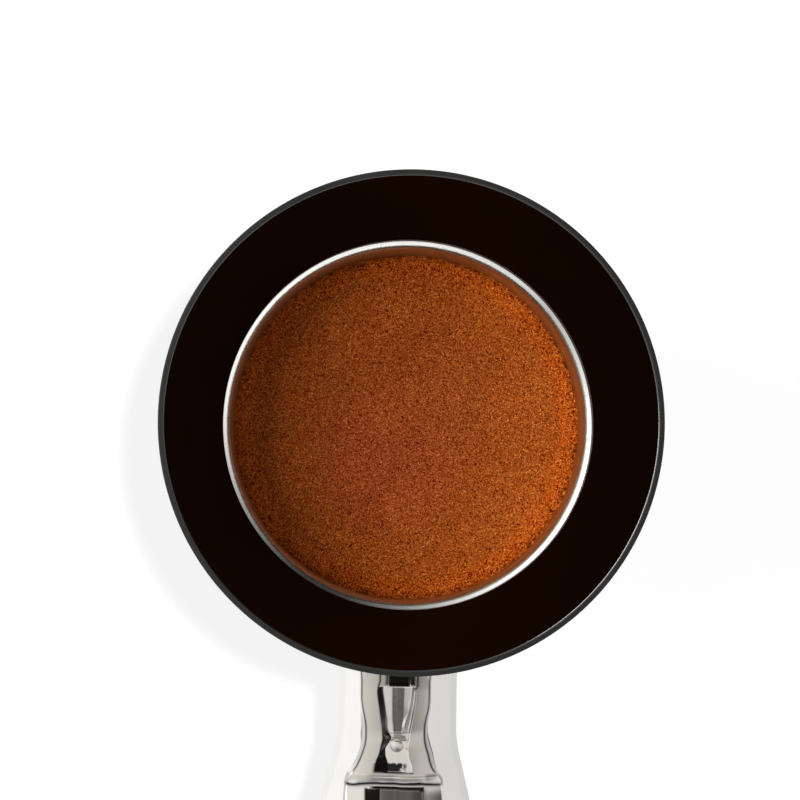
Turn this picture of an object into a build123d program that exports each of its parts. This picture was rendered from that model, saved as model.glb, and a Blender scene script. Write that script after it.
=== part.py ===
from build123d import *
import os
from math import cos, radians

# Espresso portafilter with a magnetic dosing funnel on it, in millimetres.
# The origin is on the basket's axis, where its straight bore begins. +Z is up, the handle leaves towards -Y.
# Threads are plain cylinders with the clearance that a cut thread would have.

# ---- filter basket ----
BASKET_BORE_R = 29.25       # the straight bore that a 58.5 mm tamper fits
BASKET_SHEET = 0.7          # thickness of the pressed sheet
BASKET_LIP_UNDER_R = 0.2    # inner bend where the sheet rolls from the wall into the flange
BASKET_FLANGE_WIDTH = 4.25  # flat flange outside the rolled lip
TAMP_DEPTH = 9.0            # length of the straight bore, down to the coffee
BASKET_DEPTH = 25.0         # from the start of the bore down to the floor
BASKET_TAPER = 1.8          # how much smaller the radius is at the floor
BASKET_CORNER_R = 3.0       # inner corner between wall and floor
DRIP_HOLE_R = 0.5
DRIP_HOLE_PITCH = 3.6
DRIP_FIELD_MARGIN = 1.5     # plain floor between the holes and the rounded corner

# ---- coffee puck ----
PUCK_SIDE_GAP = 0.3         # the pressed coffee's clearance in the bore
PUCK_TOP_GAP = 0.1          # the pressed face lies this far below the straight bore
PUCK_CORNER_R = 3.4

# ---- portafilter bowl ----
RIM_OVERHANG = 0.5          # the bowl's rim reaches this far beyond the basket's flange
BOWL_SIDE_GAP = 0.65        # between the basket's wall and the bowl's bore
BOWL_FLOOR_GAP = 3.8        # under the basket
BOWL_FLOOR = 3.5
BOWL_TAPER = 2.4            # how much smaller the outside is at the foot of the wall
BOWL_STRAIGHT = 15.0        # height of the straight outside below the rim
BOWL_CORNER_R = 9.0
BOWL_INNER_CORNER_R = 5.0
EAR_REACH = 4.4             # the two bayonet ears stand out this far
EAR_DROP = 5.7              # from the rim's face down to the ears
EAR_HEIGHT = 8.0
EAR_ARC = 40.0
EAR_EDGE_R = 0.8
BOSS_R = 12.5               # threaded boss under the bowl
BOSS_DROP = 4.5
DRAIN_R = 6.0
DRAIN_THREAD_DEPTH = 6.5

# ---- basket spring ----
SPRING_WIRE_R = 0.65
SPRING_DROP = 7.2           # from the rim's face to the wire's centre
SPRING_GAP = 0.3            # between the wire and the basket
SPRING_ARC = 325.0
GROOVE_GAP = 0.05           # the wire's clearance in its groove

# ---- dosing funnel ----
FUNNEL_HEIGHT = 17.0        # from the basket's flange to the funnel's rim
FUNNEL_RIM_R = 40.72
FUNNEL_LIP = 0.9            # wall at the rim
FUNNEL_LIP_ROUND = 0.3
FUNNEL_RIM_BAND = 3.0       # straight outside band below the rim
THROAT_SET_BACK = 0.48      # the throat starts this far outside the basket's rolled lip
THROAT_HEIGHT = 3.2         # straight throat below the cone
SKIRT_GAP = 0.4             # around the bowl's rim
SKIRT_WALL = 2.7
SKIRT_DROP = 4.9            # below the basket's flange
SKIRT_BAND = 4.0            # straight outside above the flange
MAGNET_R = 1.5
MAGNET_HEIGHT = 2.0
MAGNET_COUNT = 12
MAGNET_FIT = 0.05
MAGNET_RING_HEIGHT = 0.6

# ---- neck and handle, on an axis that leaves the bowl's wall downwards ----
HANDLE_TILT = 12.0          # degrees below level
NECK_DROP = 15.7            # from the rim's face to where the axis leaves the wall
NECK_SECTIONS = (           # distance from the wall, half width, half height
    (-7.0, 16.0, 10.6),
    (1.5, 11.6, 9.2),
    (8.0, 10.0, 8.4),
    (17.5, 10.2, 8.4),
    (24.5, 11.5, 9.9),
    (29.4, 12.75, 11.8),
    (35.0, 14.3, 14.3),
)
NECK_COLLAR = 2.5           # straight band at the end of the flare
SPINE_OUTLINE = ((-3.0, 7.4), (6.0, 5.8), (15.3, 4.95), (24.3, 7.8))   # distance, half width
SPINE_RISE = 1.0
POCKET_OUTLINE = ((3.0, 3.3), (9.0, 2.95), (15.3, 2.3), (22.15, 3.45))
POCKET_DEPTH = 1.3
RIB_OUTLINE = ((2.5, 2.3), (8.0, 2.05), (14.2, 1.45))
RIB_TIP = 3.3               # the rib's round tip reaches this far past its last width
RIB_RISE = 0.8              # above the pocket's floor
STUD_R = 6.0                # M12 stud
THREAD_GAP = 0.05
STUD_IN_NECK = 18.0
STUD_IN_GRIP = 22.0
WASHER_WALL = 3.6
WASHER_HEIGHT = 1.6
FERRULE_LENGTH = 6.0
FERRULE_STEP = 0.3          # the ferrule is this much smaller in radius than the collar
FERRULE_SPIGOT = 3.0        # the ferrule's spigot inside the grip
FERRULE_SPIGOT_WALL = 5.2
GRIP_LENGTH = 112.0
GRIP_STEP = 0.35            # the grip's front is this much smaller in radius than the ferrule
# distance from the grip's front, change of radius from there
GRIP_OUTLINE = ((0.0, 0.0), (16.0, -1.4), (42.0, -0.7), (78.0, 2.1), (104.0, 1.5))
GRIP_END_R = 1.5
INSERT_WALL = 2.2
INSERT_LENGTH = 26.0
CAP_HEIGHT = 2.4
CAP_RIM = 3.0               # ring of grip around the cap
CAP_PROUD = 0.6
CAP_EDGE_R = 0.5
CAP_SCREW_R = 2.0
CAP_SCREW_HEAD_R = 3.8
CAP_SCREW_HEAD = 1.5
CAP_SCREW_LENGTH = 18.0
CAP_SOCKET_R = 1.4
CAP_WASHER_HEIGHT = 0.8

# ---- double spout ----
NIPPLE_R = 8.3              # 3/8 inch pipe thread
NIPPLE_BORE_R = 6.0
GASKET_HEIGHT = 1.2
LOCK_NUT_HEIGHT = 4.0
LOCK_NUT_FLATS = 24.0
LOCK_NUT_TRIM = 0.6         # turned off the nut's corners
HUB_R = 12.0
HUB_HEIGHT = 12.0
HUB_CORNER_R = 4.0
HUB_FLOOR = 2.0
HUB_THREAD_DEPTH = 5.0
SPOUT_SPREAD = 19.0         # from the middle to each outlet
SPOUT_FALL = 2.5            # how far each arm drops on its way out
SPOUT_TUBE_R = 5.6
SPOUT_BORE_R = 3.8
SPOUT_BEND_R = 7.0

# ---- places worked out from the sizes ----
BASKET_LIP_R = BASKET_LIP_UNDER_R + BASKET_SHEET
FLANGE_TOP = BASKET_LIP_R
RIM_TOP = FLANGE_TOP - BASKET_SHEET
BASKET_OUTER_R = BASKET_BORE_R + BASKET_SHEET
FLANGE_R = BASKET_BORE_R + BASKET_LIP_R + BASKET_FLANGE_WIDTH
BOWL_R = FLANGE_R + RIM_OVERHANG
BOWL_BORE_R = BASKET_OUTER_R + BOWL_SIDE_GAP
BOWL_INSIDE = -(BASKET_DEPTH + BASKET_SHEET + BOWL_FLOOR_GAP)
BOWL_BOTTOM = BOWL_INSIDE - BOWL_FLOOR
BOSS_BOTTOM = BOWL_BOTTOM - BOSS_DROP
NUT_TOP = BOSS_BOTTOM - GASKET_HEIGHT
HUB_TOP = NUT_TOP - LOCK_NUT_HEIGHT
SPRING_R = BASKET_OUTER_R + SPRING_GAP + SPRING_WIRE_R
THROAT_R = BASKET_BORE_R + BASKET_LIP_R + THROAT_SET_BACK
MAGNET_RING_TOP = FLANGE_TOP + MAGNET_RING_HEIGHT
SKIRT_BORE_R = BOWL_R + SKIRT_GAP
SKIRT_R = SKIRT_BORE_R + SKIRT_WALL
NECK_LENGTH = NECK_SECTIONS[-1][0] + NECK_COLLAR
COLLAR_R = NECK_SECTIONS[-1][1]
FERRULE_R = COLLAR_R - FERRULE_STEP
GRIP_FRONT_R = FERRULE_R - GRIP_STEP
GRIP_START = NECK_LENGTH + FERRULE_LENGTH
GRIP_END = GRIP_START + GRIP_LENGTH
GRIP_BACK_R = GRIP_FRONT_R + GRIP_OUTLINE[-1][1]
CAP_R = GRIP_BACK_R - CAP_RIM
INSERT_R = STUD_R + THREAD_GAP + INSERT_WALL
HANDLE_AXIS = Location((0, -BOWL_R, RIM_TOP - NECK_DROP), (90 + HANDLE_TILT, 0, 0))


def turned(*corners):
    """A ring or disc turned about Z from (radius, height, corner round) points."""
    places = [(radius, height) for radius, height, _ in corners]
    rounds = [corner for _, _, corner in corners]
    outline = FilletPolyline(*places, radius=rounds, close=True)
    return revolve(Plane.XZ * make_face(outline), Axis.Z)


def drum(radius, low, high):
    """A plain cylinder about Z between two heights."""
    return Pos(0, 0, low) * extrude(Circle(radius), high - low)


def ring(outer, inner, low, high):
    """A plain tube about Z between two heights."""
    return Pos(0, 0, low) * extrude(Circle(outer) - Circle(inner), high - low)


def basket_radius(depth):
    """The basket's inner radius at a depth below the start of its bore."""
    below = max(depth - TAMP_DEPTH, 0.0)
    return BASKET_BORE_R - BASKET_TAPER * below / (BASKET_DEPTH - TAMP_DEPTH)


def filter_basket():
    floor_r = basket_radius(BASKET_DEPTH)
    cup = turned(
        (0, -BASKET_DEPTH, 0),
        (floor_r, -BASKET_DEPTH, BASKET_CORNER_R),
        (BASKET_BORE_R, -TAMP_DEPTH, 0),
        (BASKET_BORE_R, FLANGE_TOP, BASKET_LIP_R),
        (FLANGE_R, FLANGE_TOP, 0),
        (FLANGE_R, RIM_TOP, 0),
        (BASKET_OUTER_R, RIM_TOP, BASKET_LIP_UNDER_R),
        (BASKET_OUTER_R, -TAMP_DEPTH, 0),
        (floor_r + BASKET_SHEET, -BASKET_DEPTH - BASKET_SHEET, BASKET_CORNER_R + BASKET_SHEET),
        (0, -BASKET_DEPTH - BASKET_SHEET, 0),
    )
    field_r = floor_r - BASKET_CORNER_R - DRIP_FIELD_MARGIN
    count = int(2 * field_r / DRIP_HOLE_PITCH) + 2
    grid = HexLocations(DRIP_HOLE_PITCH / 2, count, count, major_radius=False)
    low = -BASKET_DEPTH - 2 * BASKET_SHEET
    hole = drum(DRIP_HOLE_R, low, low + 3 * BASKET_SHEET)
    holes = [place * hole for place in grid if place.position.length < field_r]
    return cup - holes


def coffee_puck():
    top = -TAMP_DEPTH - PUCK_TOP_GAP
    return turned(
        (0, top, 0),
        (basket_radius(-top) - PUCK_SIDE_GAP, top, 0),
        (basket_radius(BASKET_DEPTH) - PUCK_SIDE_GAP, -BASKET_DEPTH, PUCK_CORNER_R),
        (0, -BASKET_DEPTH, 0),
    )


def bowl_outside():
    """The bowl's filled outer form, which the neck is brazed to."""
    return turned(
        (0, RIM_TOP, 0),
        (BOWL_R, RIM_TOP, 0),
        (BOWL_R, RIM_TOP - BOWL_STRAIGHT, 0),
        (BOWL_R - BOWL_TAPER, BOWL_BOTTOM, BOWL_CORNER_R),
        (0, BOWL_BOTTOM, 0),
    )


def portafilter_bowl():
    ear_top = RIM_TOP - EAR_DROP
    ear_low = ear_top - EAR_HEIGHT
    ear_root = (BOWL_BORE_R + BOWL_R) / 2
    ear_tip = BOWL_R + EAR_REACH
    ear_outline = FilletPolyline(
        (ear_root, ear_top), (ear_tip, ear_top), (ear_tip, ear_low), (ear_root, ear_low),
        radius=[0, EAR_EDGE_R, EAR_EDGE_R, 0], close=True)
    ear = revolve(Plane.XZ * make_face(ear_outline), Axis.Z, EAR_ARC)
    boss = drum(BOSS_R, BOSS_BOTTOM, BOWL_INSIDE - BOWL_FLOOR / 2)
    bowl = bowl_outside() + boss
    for side in (0, 180):
        bowl += Rot(0, 0, side - EAR_ARC / 2) * ear
    inside = turned(
        (0, RIM_TOP + 1, 0),
        (BOWL_BORE_R, RIM_TOP + 1, 0),
        (BOWL_BORE_R, BOWL_INSIDE, BOWL_INNER_CORNER_R),
        (0, BOWL_INSIDE, 0),
    )
    spring_z = RIM_TOP - SPRING_DROP
    groove_half = SPRING_WIRE_R + GROOVE_GAP
    groove = ring(SPRING_R + groove_half, BOWL_BORE_R - 1, spring_z - groove_half, spring_z + groove_half)
    thread = drum(NIPPLE_R + THREAD_GAP, BOSS_BOTTOM - 1, BOSS_BOTTOM + DRAIN_THREAD_DEPTH)
    drain = drum(DRAIN_R, BOSS_BOTTOM, BOWL_INSIDE + 1)
    return bowl - inside - groove - thread - drain


def basket_spring():
    wire = Plane.XZ * Pos(SPRING_R, RIM_TOP - SPRING_DROP) * Circle(SPRING_WIRE_R)
    return Rot(0, 0, 90) * revolve(wire, Axis.Z, SPRING_ARC)


def neck_form(rise):
    """The flared neck along +Z of the handle's axis, its top and bottom moved out by rise."""
    sections = [
        Pos(0, 0, distance) * Ellipse(half_width, half_height + rise)
        for distance, half_width, half_height in NECK_SECTIONS
    ]
    return loft(sections)


def raised_outline(stations, low, high):
    """A prism over the neck, symmetric about its axis, from (distance, half width) stations."""
    right = [(half_width, distance) for distance, half_width in stations]
    left = [(-half_width, distance) for distance, half_width in stations]
    sides = [Spline(right), Spline(left)]
    ends = [Line(right[0], left[0]), Line(right[-1], left[-1])]
    face = Plane.XZ * make_face(sides + ends)
    return Pos(0, high, 0) * extrude(face, high - low)


def portafilter_neck():
    tall = COLLAR_R + SPINE_RISE
    form = neck_form(0)
    spine = neck_form(SPINE_RISE) & raised_outline(SPINE_OUTLINE, 0, tall)
    pocket = raised_outline(POCKET_OUTLINE, 0, tall) - neck_form(SPINE_RISE - POCKET_DEPTH)
    rib_plan = raised_outline(RIB_OUTLINE, 0, tall)
    tip_distance, tip_half_width = RIB_OUTLINE[-1]
    tip = Pos(0, tall, tip_distance) * extrude(Plane.XZ * Ellipse(tip_half_width, RIB_TIP), tall)
    rib = neck_form(SPINE_RISE - POCKET_DEPTH + RIB_RISE) & (rib_plan + tip)
    collar = drum(COLLAR_R, NECK_SECTIONS[-1][0], NECK_LENGTH)
    neck = form + spine - pocket + rib + collar
    stud_bore = drum(STUD_R + THREAD_GAP, NECK_LENGTH - STUD_IN_NECK, NECK_LENGTH + 1)
    return HANDLE_AXIS * (neck - stud_bore) - bowl_outside()


def handle_stud():
    return HANDLE_AXIS * drum(STUD_R, NECK_LENGTH - STUD_IN_NECK, GRIP_START + STUD_IN_GRIP)


def handle_washer():
    inner = STUD_R + THREAD_GAP
    return HANDLE_AXIS * ring(inner + WASHER_WALL, inner, NECK_LENGTH, NECK_LENGTH + WASHER_HEIGHT)


def handle_ferrule():
    body = ring(FERRULE_R, STUD_R + THREAD_GAP, NECK_LENGTH, GRIP_START)
    spigot = ring(STUD_R + FERRULE_SPIGOT_WALL, STUD_R + THREAD_GAP, GRIP_START, GRIP_START + FERRULE_SPIGOT)
    recess = drum(STUD_R + THREAD_GAP + WASHER_WALL + THREAD_GAP, NECK_LENGTH, NECK_LENGTH + WASHER_HEIGHT)
    return HANDLE_AXIS * (body + spigot - recess)


def handle_insert():
    start = GRIP_START + FERRULE_SPIGOT
    return HANDLE_AXIS * ring(INSERT_R, STUD_R + THREAD_GAP, start, start + INSERT_LENGTH)


def handle_grip():
    side = [(GRIP_FRONT_R + change, GRIP_START + distance) for distance, change in GRIP_OUTLINE]
    end = (GRIP_BACK_R - GRIP_END_R, GRIP_END)
    swell = Spline(side)
    shoulder = Spline([side[-1], end], tangents=[swell % 1, (-1, 0)])
    lines = [
        swell,
        shoulder,
        Line(end, (0, GRIP_END)),
        Line((0, GRIP_END), (0, GRIP_START)),
        Line((0, GRIP_START), side[0]),
    ]
    form = revolve(Plane.XZ * make_face(lines), Axis.Z)
    spigot_r = STUD_R + FERRULE_SPIGOT_WALL + THREAD_GAP
    insert_end = GRIP_START + FERRULE_SPIGOT + INSERT_LENGTH
    form -= drum(spigot_r, GRIP_START, GRIP_START + FERRULE_SPIGOT)
    form -= drum(INSERT_R, GRIP_START, insert_end)
    cap_seat = GRIP_END - CAP_HEIGHT + CAP_PROUD - CAP_WASHER_HEIGHT
    form -= drum(CAP_R + THREAD_GAP, cap_seat, GRIP_END)
    form -= drum(CAP_SCREW_R, GRIP_END - CAP_SCREW_LENGTH, GRIP_END)
    return HANDLE_AXIS * form


def handle_cap_washer():
    low = GRIP_END - CAP_HEIGHT + CAP_PROUD - CAP_WASHER_HEIGHT
    return HANDLE_AXIS * ring(CAP_R, CAP_SCREW_R, low, low + CAP_WASHER_HEIGHT)


def handle_end_cap():
    high = GRIP_END + CAP_PROUD
    cap = turned(
        (CAP_SCREW_R + THREAD_GAP, high - CAP_HEIGHT, 0),
        (CAP_R, high - CAP_HEIGHT, 0),
        (CAP_R, high, CAP_EDGE_R),
        (CAP_SCREW_R + THREAD_GAP, high, 0),
    )
    return HANDLE_AXIS * (cap - drum(CAP_SCREW_HEAD_R + THREAD_GAP, high - CAP_SCREW_HEAD, high))


def handle_cap_screw():
    high = GRIP_END + CAP_PROUD
    shank = drum(CAP_SCREW_R, GRIP_END - CAP_SCREW_LENGTH, high)
    head = drum(CAP_SCREW_HEAD_R, high - CAP_SCREW_HEAD, high)
    socket = Pos(0, 0, high - CAP_SCREW_HEAD) * extrude(RegularPolygon(CAP_SOCKET_R, 6), CAP_SCREW_HEAD)
    return HANDLE_AXIS * (shank + head - socket)


def spout_nipple():
    return ring(NIPPLE_R, NIPPLE_BORE_R, HUB_TOP - HUB_THREAD_DEPTH, BOSS_BOTTOM + DRAIN_THREAD_DEPTH)


def spout_gasket():
    return ring(BOSS_R, NIPPLE_R + THREAD_GAP, NUT_TOP, BOSS_BOTTOM)


def spout_lock_nut():
    corner_r = LOCK_NUT_FLATS / 2 / cos(radians(30))
    plan = RegularPolygon(corner_r, 6) - Circle(NIPPLE_R + THREAD_GAP)
    blank = Pos(0, 0, HUB_TOP) * extrude(plan, LOCK_NUT_HEIGHT)
    return blank & drum(corner_r - LOCK_NUT_TRIM, HUB_TOP, NUT_TOP)


def double_spout(rest_z):
    """Hub and two outlets that stand on the plane where the grip's end rests."""
    hub_low = HUB_TOP - HUB_HEIGHT
    arm_z = hub_low + SPOUT_TUBE_R
    spout = turned((0, HUB_TOP, 0), (HUB_R, HUB_TOP, 0), (HUB_R, hub_low, HUB_CORNER_R), (0, hub_low, 0))
    hollow = drum(NIPPLE_R + THREAD_GAP, HUB_TOP - HUB_THREAD_DEPTH, HUB_TOP)
    hollow += drum(NIPPLE_BORE_R, hub_low + HUB_FLOOR, HUB_TOP)
    for side in (-1, 1):
        reach = side * SPOUT_SPREAD
        path = FilletPolyline(
            (0, 0, arm_z), (reach, 0, arm_z - SPOUT_FALL), (reach, 0, rest_z), radius=SPOUT_BEND_R)
        start = Plane(origin=path @ 0, z_dir=path % 0)
        spout += sweep(start * Circle(SPOUT_TUBE_R), path=path)
        hollow += sweep(start * Circle(SPOUT_BORE_R), path=path)
    return spout - hollow


def funnel_body():
    cone_low = FLANGE_TOP + THROAT_HEIGHT
    rim_top = FLANGE_TOP + FUNNEL_HEIGHT
    form = turned(
        (THROAT_R, MAGNET_RING_TOP, 0),
        (THROAT_R, cone_low, 0),
        (FUNNEL_RIM_R - FUNNEL_LIP, rim_top, FUNNEL_LIP_ROUND),
        (FUNNEL_RIM_R, rim_top, 0),
        (FUNNEL_RIM_R, rim_top - FUNNEL_RIM_BAND, 0),
        (SKIRT_R, FLANGE_TOP + SKIRT_BAND, 0),
        (SKIRT_R, FLANGE_TOP - SKIRT_DROP, 0),
        (SKIRT_BORE_R, FLANGE_TOP - SKIRT_DROP, 0),
        (SKIRT_BORE_R, MAGNET_RING_TOP, 0),
    )
    pocket = drum(MAGNET_R + MAGNET_FIT, MAGNET_RING_TOP, MAGNET_RING_TOP + MAGNET_HEIGHT)
    return form - [place * pocket for place in magnet_places()]


def magnet_places():
    return PolarLocations((THROAT_R + FLANGE_R) / 2, MAGNET_COUNT)


def funnel_magnets():
    disc = drum(MAGNET_R, MAGNET_RING_TOP, MAGNET_RING_TOP + MAGNET_HEIGHT)
    return Compound(children=[place * disc for place in magnet_places()])


def funnel_magnet_ring():
    return ring(SKIRT_BORE_R, THROAT_R, FLANGE_TOP, MAGNET_RING_TOP)


grip = handle_grip()
pieces = {
    "portafilter_bowl": portafilter_bowl(),
    "portafilter_neck": portafilter_neck(),
    "basket_spring": basket_spring(),
    "filter_basket": filter_basket(),
    "coffee_puck": coffee_puck(),
    "funnel_body": funnel_body(),
    "funnel_magnets": funnel_magnets(),
    "funnel_magnet_ring": funnel_magnet_ring(),
    "spout_nipple": spout_nipple(),
    "spout_gasket": spout_gasket(),
    "spout_lock_nut": spout_lock_nut(),
    "double_spout": double_spout(grip.bounding_box().min.Z),
    "handle_stud": handle_stud(),
    "handle_washer": handle_washer(),
    "handle_ferrule": handle_ferrule(),
    "handle_insert": handle_insert(),
    "handle_grip": grip,
    "handle_cap_washer": handle_cap_washer(),
    "handle_end_cap": handle_end_cap(),
    "handle_cap_screw": handle_cap_screw(),
}

os.makedirs("parts", exist_ok=True)
for name, shape in pieces.items():
    export_step(shape, f"parts/{name}.step")
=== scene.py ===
import math

import bpy
import numpy as np
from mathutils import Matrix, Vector


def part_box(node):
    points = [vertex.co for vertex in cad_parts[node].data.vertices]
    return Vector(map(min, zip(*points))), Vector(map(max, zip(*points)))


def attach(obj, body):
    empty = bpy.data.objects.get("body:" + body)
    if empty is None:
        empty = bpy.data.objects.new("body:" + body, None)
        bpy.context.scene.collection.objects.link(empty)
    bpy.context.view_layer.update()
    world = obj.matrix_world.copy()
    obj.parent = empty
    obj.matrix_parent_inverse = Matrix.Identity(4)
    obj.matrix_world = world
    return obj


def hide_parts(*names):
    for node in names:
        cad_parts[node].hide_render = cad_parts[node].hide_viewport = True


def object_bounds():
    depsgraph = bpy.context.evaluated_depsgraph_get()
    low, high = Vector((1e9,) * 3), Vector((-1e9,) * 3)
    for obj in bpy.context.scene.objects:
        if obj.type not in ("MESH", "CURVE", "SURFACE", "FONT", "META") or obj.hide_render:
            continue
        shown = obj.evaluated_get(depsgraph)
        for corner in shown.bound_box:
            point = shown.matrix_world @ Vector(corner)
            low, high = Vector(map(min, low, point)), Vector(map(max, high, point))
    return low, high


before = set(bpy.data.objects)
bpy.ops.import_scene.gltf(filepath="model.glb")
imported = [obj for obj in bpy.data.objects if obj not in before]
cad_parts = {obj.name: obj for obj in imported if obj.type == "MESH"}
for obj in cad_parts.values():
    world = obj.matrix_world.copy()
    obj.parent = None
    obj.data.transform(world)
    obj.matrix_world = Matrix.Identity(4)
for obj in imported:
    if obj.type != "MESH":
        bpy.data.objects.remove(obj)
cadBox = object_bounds()
mm = 0.001

# places read from the frame, in millimetres
floorZ = cadBox[0].z / mm
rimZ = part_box("portafilter_bowl")[1].z / mm            # the bowl's rim
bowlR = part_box("portafilter_bowl")[1].y / mm
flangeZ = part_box("filter_basket")[1].z / mm            # the basket's flange
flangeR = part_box("filter_basket")[1].x / mm
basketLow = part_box("filter_basket")[0].z / mm
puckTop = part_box("coffee_puck")[1].z / mm
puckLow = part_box("coffee_puck")[0].z / mm
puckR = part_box("coffee_puck")[1].x / mm
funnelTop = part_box("funnel_body")[1].z / mm
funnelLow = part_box("funnel_body")[0].z / mm
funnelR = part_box("funnel_body")[1].x / mm
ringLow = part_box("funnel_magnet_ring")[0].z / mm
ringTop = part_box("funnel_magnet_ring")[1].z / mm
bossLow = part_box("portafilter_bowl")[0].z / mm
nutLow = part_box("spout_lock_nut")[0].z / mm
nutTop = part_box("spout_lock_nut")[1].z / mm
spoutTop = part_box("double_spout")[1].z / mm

handleTilt = 12.0                                      # degrees below level
handleStart = (0, -bowlR, rimZ - 15.7)                 # where the handle's axis leaves the bowl
neckEnd = 37.5                                         # distances along that axis
gripStart = 43.5
gripEnd = 155.5

weld = 1e-7                                            # points closer than this are one, in metres


def roundCorners(corners, steps=7):
    # (radius, height, round) corners become points, with an arc where round is not 0
    points = []
    count = len(corners)
    for index, (radius, height, roundR) in enumerate(corners):
        here = Vector((radius, height))
        if not roundR:
            points.append(here)
            continue
        before = Vector(corners[index - 1][:2]) - here
        after = Vector(corners[(index + 1) % count][:2]) - here
        half = before.angle(after) / 2
        reach = roundR / math.tan(half)
        start = here + before.normalized() * reach
        end = here + after.normalized() * reach
        middle = here + (before.normalized() + after.normalized()).normalized() * roundR / math.sin(half)
        first = start - middle
        last = end - middle
        for step in range(steps + 1):
            share = step / steps
            points.append(middle + first.slerp(last, share) * roundR)
    return points


def curveThrough(stations, where):
    # smooth value through (place, value) stations
    places = np.array([s[0] for s in stations], float)
    values = np.array([s[1] for s in stations], float)
    steps = np.diff(values) / np.diff(places)
    same = steps[:-1] * steps[1:] > 0
    middle = np.where(same, 2 * steps[:-1] * steps[1:] / np.where(same, steps[:-1] + steps[1:], 1), 0)
    slopes = np.concatenate((steps[:1], middle, steps[-1:]))
    where = np.clip(where, places[0], places[-1])
    index = np.clip(np.searchsorted(places, where) - 1, 0, len(places) - 2)
    gap = places[index + 1] - places[index]
    t = (where - places[index]) / gap
    return (
        values[index] * (2 * t**3 - 3 * t**2 + 1)
        + slopes[index] * gap * (t**3 - 2 * t**2 + t)
        + values[index + 1] * (3 * t**2 - 2 * t**3)
        + slopes[index + 1] * gap * (t**3 - t**2)
    )


def clearSelection():
    if bpy.context.object and bpy.context.object.mode != "OBJECT":
        bpy.ops.object.mode_set(mode="OBJECT")
    bpy.ops.object.select_all(action="DESELECT")


def pick(piece):
    clearSelection()
    piece.select_set(True)
    bpy.context.view_layer.objects.active = piece


def applyPlace(piece):
    pick(piece)
    bpy.ops.object.transform_apply(location=True, rotation=True, scale=True)


def applyModifiers(piece):
    pick(piece)
    for modifier in list(piece.modifiers):
        bpy.ops.object.modifier_apply(modifier=modifier.name)


def smooth(piece, angle=35):
    pick(piece)
    bpy.ops.object.shade_smooth_by_angle(angle=math.radians(angle))


def turnPiece(name, corners, steps=160, sweep=360, arcSteps=7):
    # an outline of (radius, height, round) corners, spun about Z
    points = roundCorners(corners, arcSteps)
    points.append(points[0])
    path = [Vector((p.x * mm, 0, p.y * mm)) for p in points]
    clearSelection()
    bpy.ops.mesh.primitive_plane_add(size=mm, location=path[0])
    piece = bpy.context.object
    piece.name = name
    bpy.ops.object.mode_set(mode="EDIT")
    bpy.ops.mesh.select_all(action="SELECT")
    bpy.ops.mesh.merge(type="CENTER")
    for here, there in zip(path, path[1:]):
        bpy.ops.mesh.extrude_region_move(TRANSFORM_OT_translate={"value": there - here})
    bpy.ops.mesh.select_all(action="SELECT")
    bpy.ops.mesh.remove_doubles(threshold=weld)
    if sweep < 360:
        bpy.ops.mesh.edge_face_add()
    bpy.ops.mesh.spin(steps=steps, angle=math.radians(sweep), center=(0, 0, 0), axis=(0, 0, 1))
    bpy.ops.mesh.select_all(action="SELECT")
    bpy.ops.mesh.remove_doubles(threshold=weld)
    bpy.ops.mesh.normals_make_consistent(inside=False)
    bpy.ops.object.mode_set(mode="OBJECT")
    applyPlace(piece)
    return piece


def toHandle(piece):
    # a piece made along +Z moves to the handle's axis
    piece.location = Vector(handleStart) * mm
    piece.rotation_euler = (math.radians(90 + handleTilt), 0, 0)
    applyPlace(piece)
    return piece


def joinPieces(first, *others):
    clearSelection()
    for other in others:
        other.select_set(True)
    first.select_set(True)
    bpy.context.view_layer.objects.active = first
    bpy.ops.object.join()
    return first


def combine(piece, tool, operation):
    cut = piece.modifiers.new("combine", "BOOLEAN")
    cut.operation = operation
    cut.solver = "MANIFOLD"
    cut.object = tool
    applyModifiers(piece)
    bpy.data.objects.remove(tool)
    return piece


def dress(piece, material, body, slot, *nodes):
    piece.data.materials.clear()
    piece.data.materials.append(material)
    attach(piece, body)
    if nodes:
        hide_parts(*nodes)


def newMaterial(name):
    material = bpy.data.materials.new(name)
    material.use_nodes = True
    tree = material.node_tree
    return material, tree, tree.nodes["Principled BSDF"]


def addNode(tree, kind, inputs=(), **settings):
    node = tree.nodes.new(kind)
    for key, value in settings.items():
        setattr(node, key, value)
    for key, value in dict(inputs).items():
        if isinstance(value, bpy.types.NodeSocket):
            tree.links.new(value, node.inputs[key])
        else:
            node.inputs[key].default_value = value
    return node


def objectCoords(tree, scale=(1, 1, 1)):
    coords = addNode(tree, "ShaderNodeTexCoord")
    mapping = addNode(tree, "ShaderNodeMapping", {"Vector": coords.outputs["Object"], "Scale": scale})
    return mapping.outputs["Vector"]


def noiseOf(tree, vector, scale, detail=2.0, roughness=0.5):
    node = addNode(tree, "ShaderNodeTexNoise",
                   {"Vector": vector, "Scale": scale, "Detail": detail, "Roughness": roughness})
    return node.outputs["Fac"]


def ramp(tree, value, stops):
    node = addNode(tree, "ShaderNodeValToRGB", {"Fac": value})
    elements = node.color_ramp.elements
    while len(elements) < len(stops):
        elements.new(0.5)
    for element, (place, colour) in zip(elements, stops):
        element.position = place
        element.color = (*colour, 1)
    return node.outputs["Color"]


def grey(value):
    return (value, value, value)


def fade(tree, value, *stops):
    # greys between (place, level) stops
    return ramp(tree, value, [(place, grey(level)) for place, level in stops])


def mixColours(tree, share, first, second, blend="MIX"):
    node = addNode(tree, "ShaderNodeMix", data_type="RGBA", blend_type=blend)
    for index, value in ((0, share), (6, first), (7, second)):
        if isinstance(value, bpy.types.NodeSocket):
            tree.links.new(value, node.inputs[index])
        else:
            node.inputs[index].default_value = value if index == 0 else (*value, 1)
    return node.outputs[2]


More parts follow.
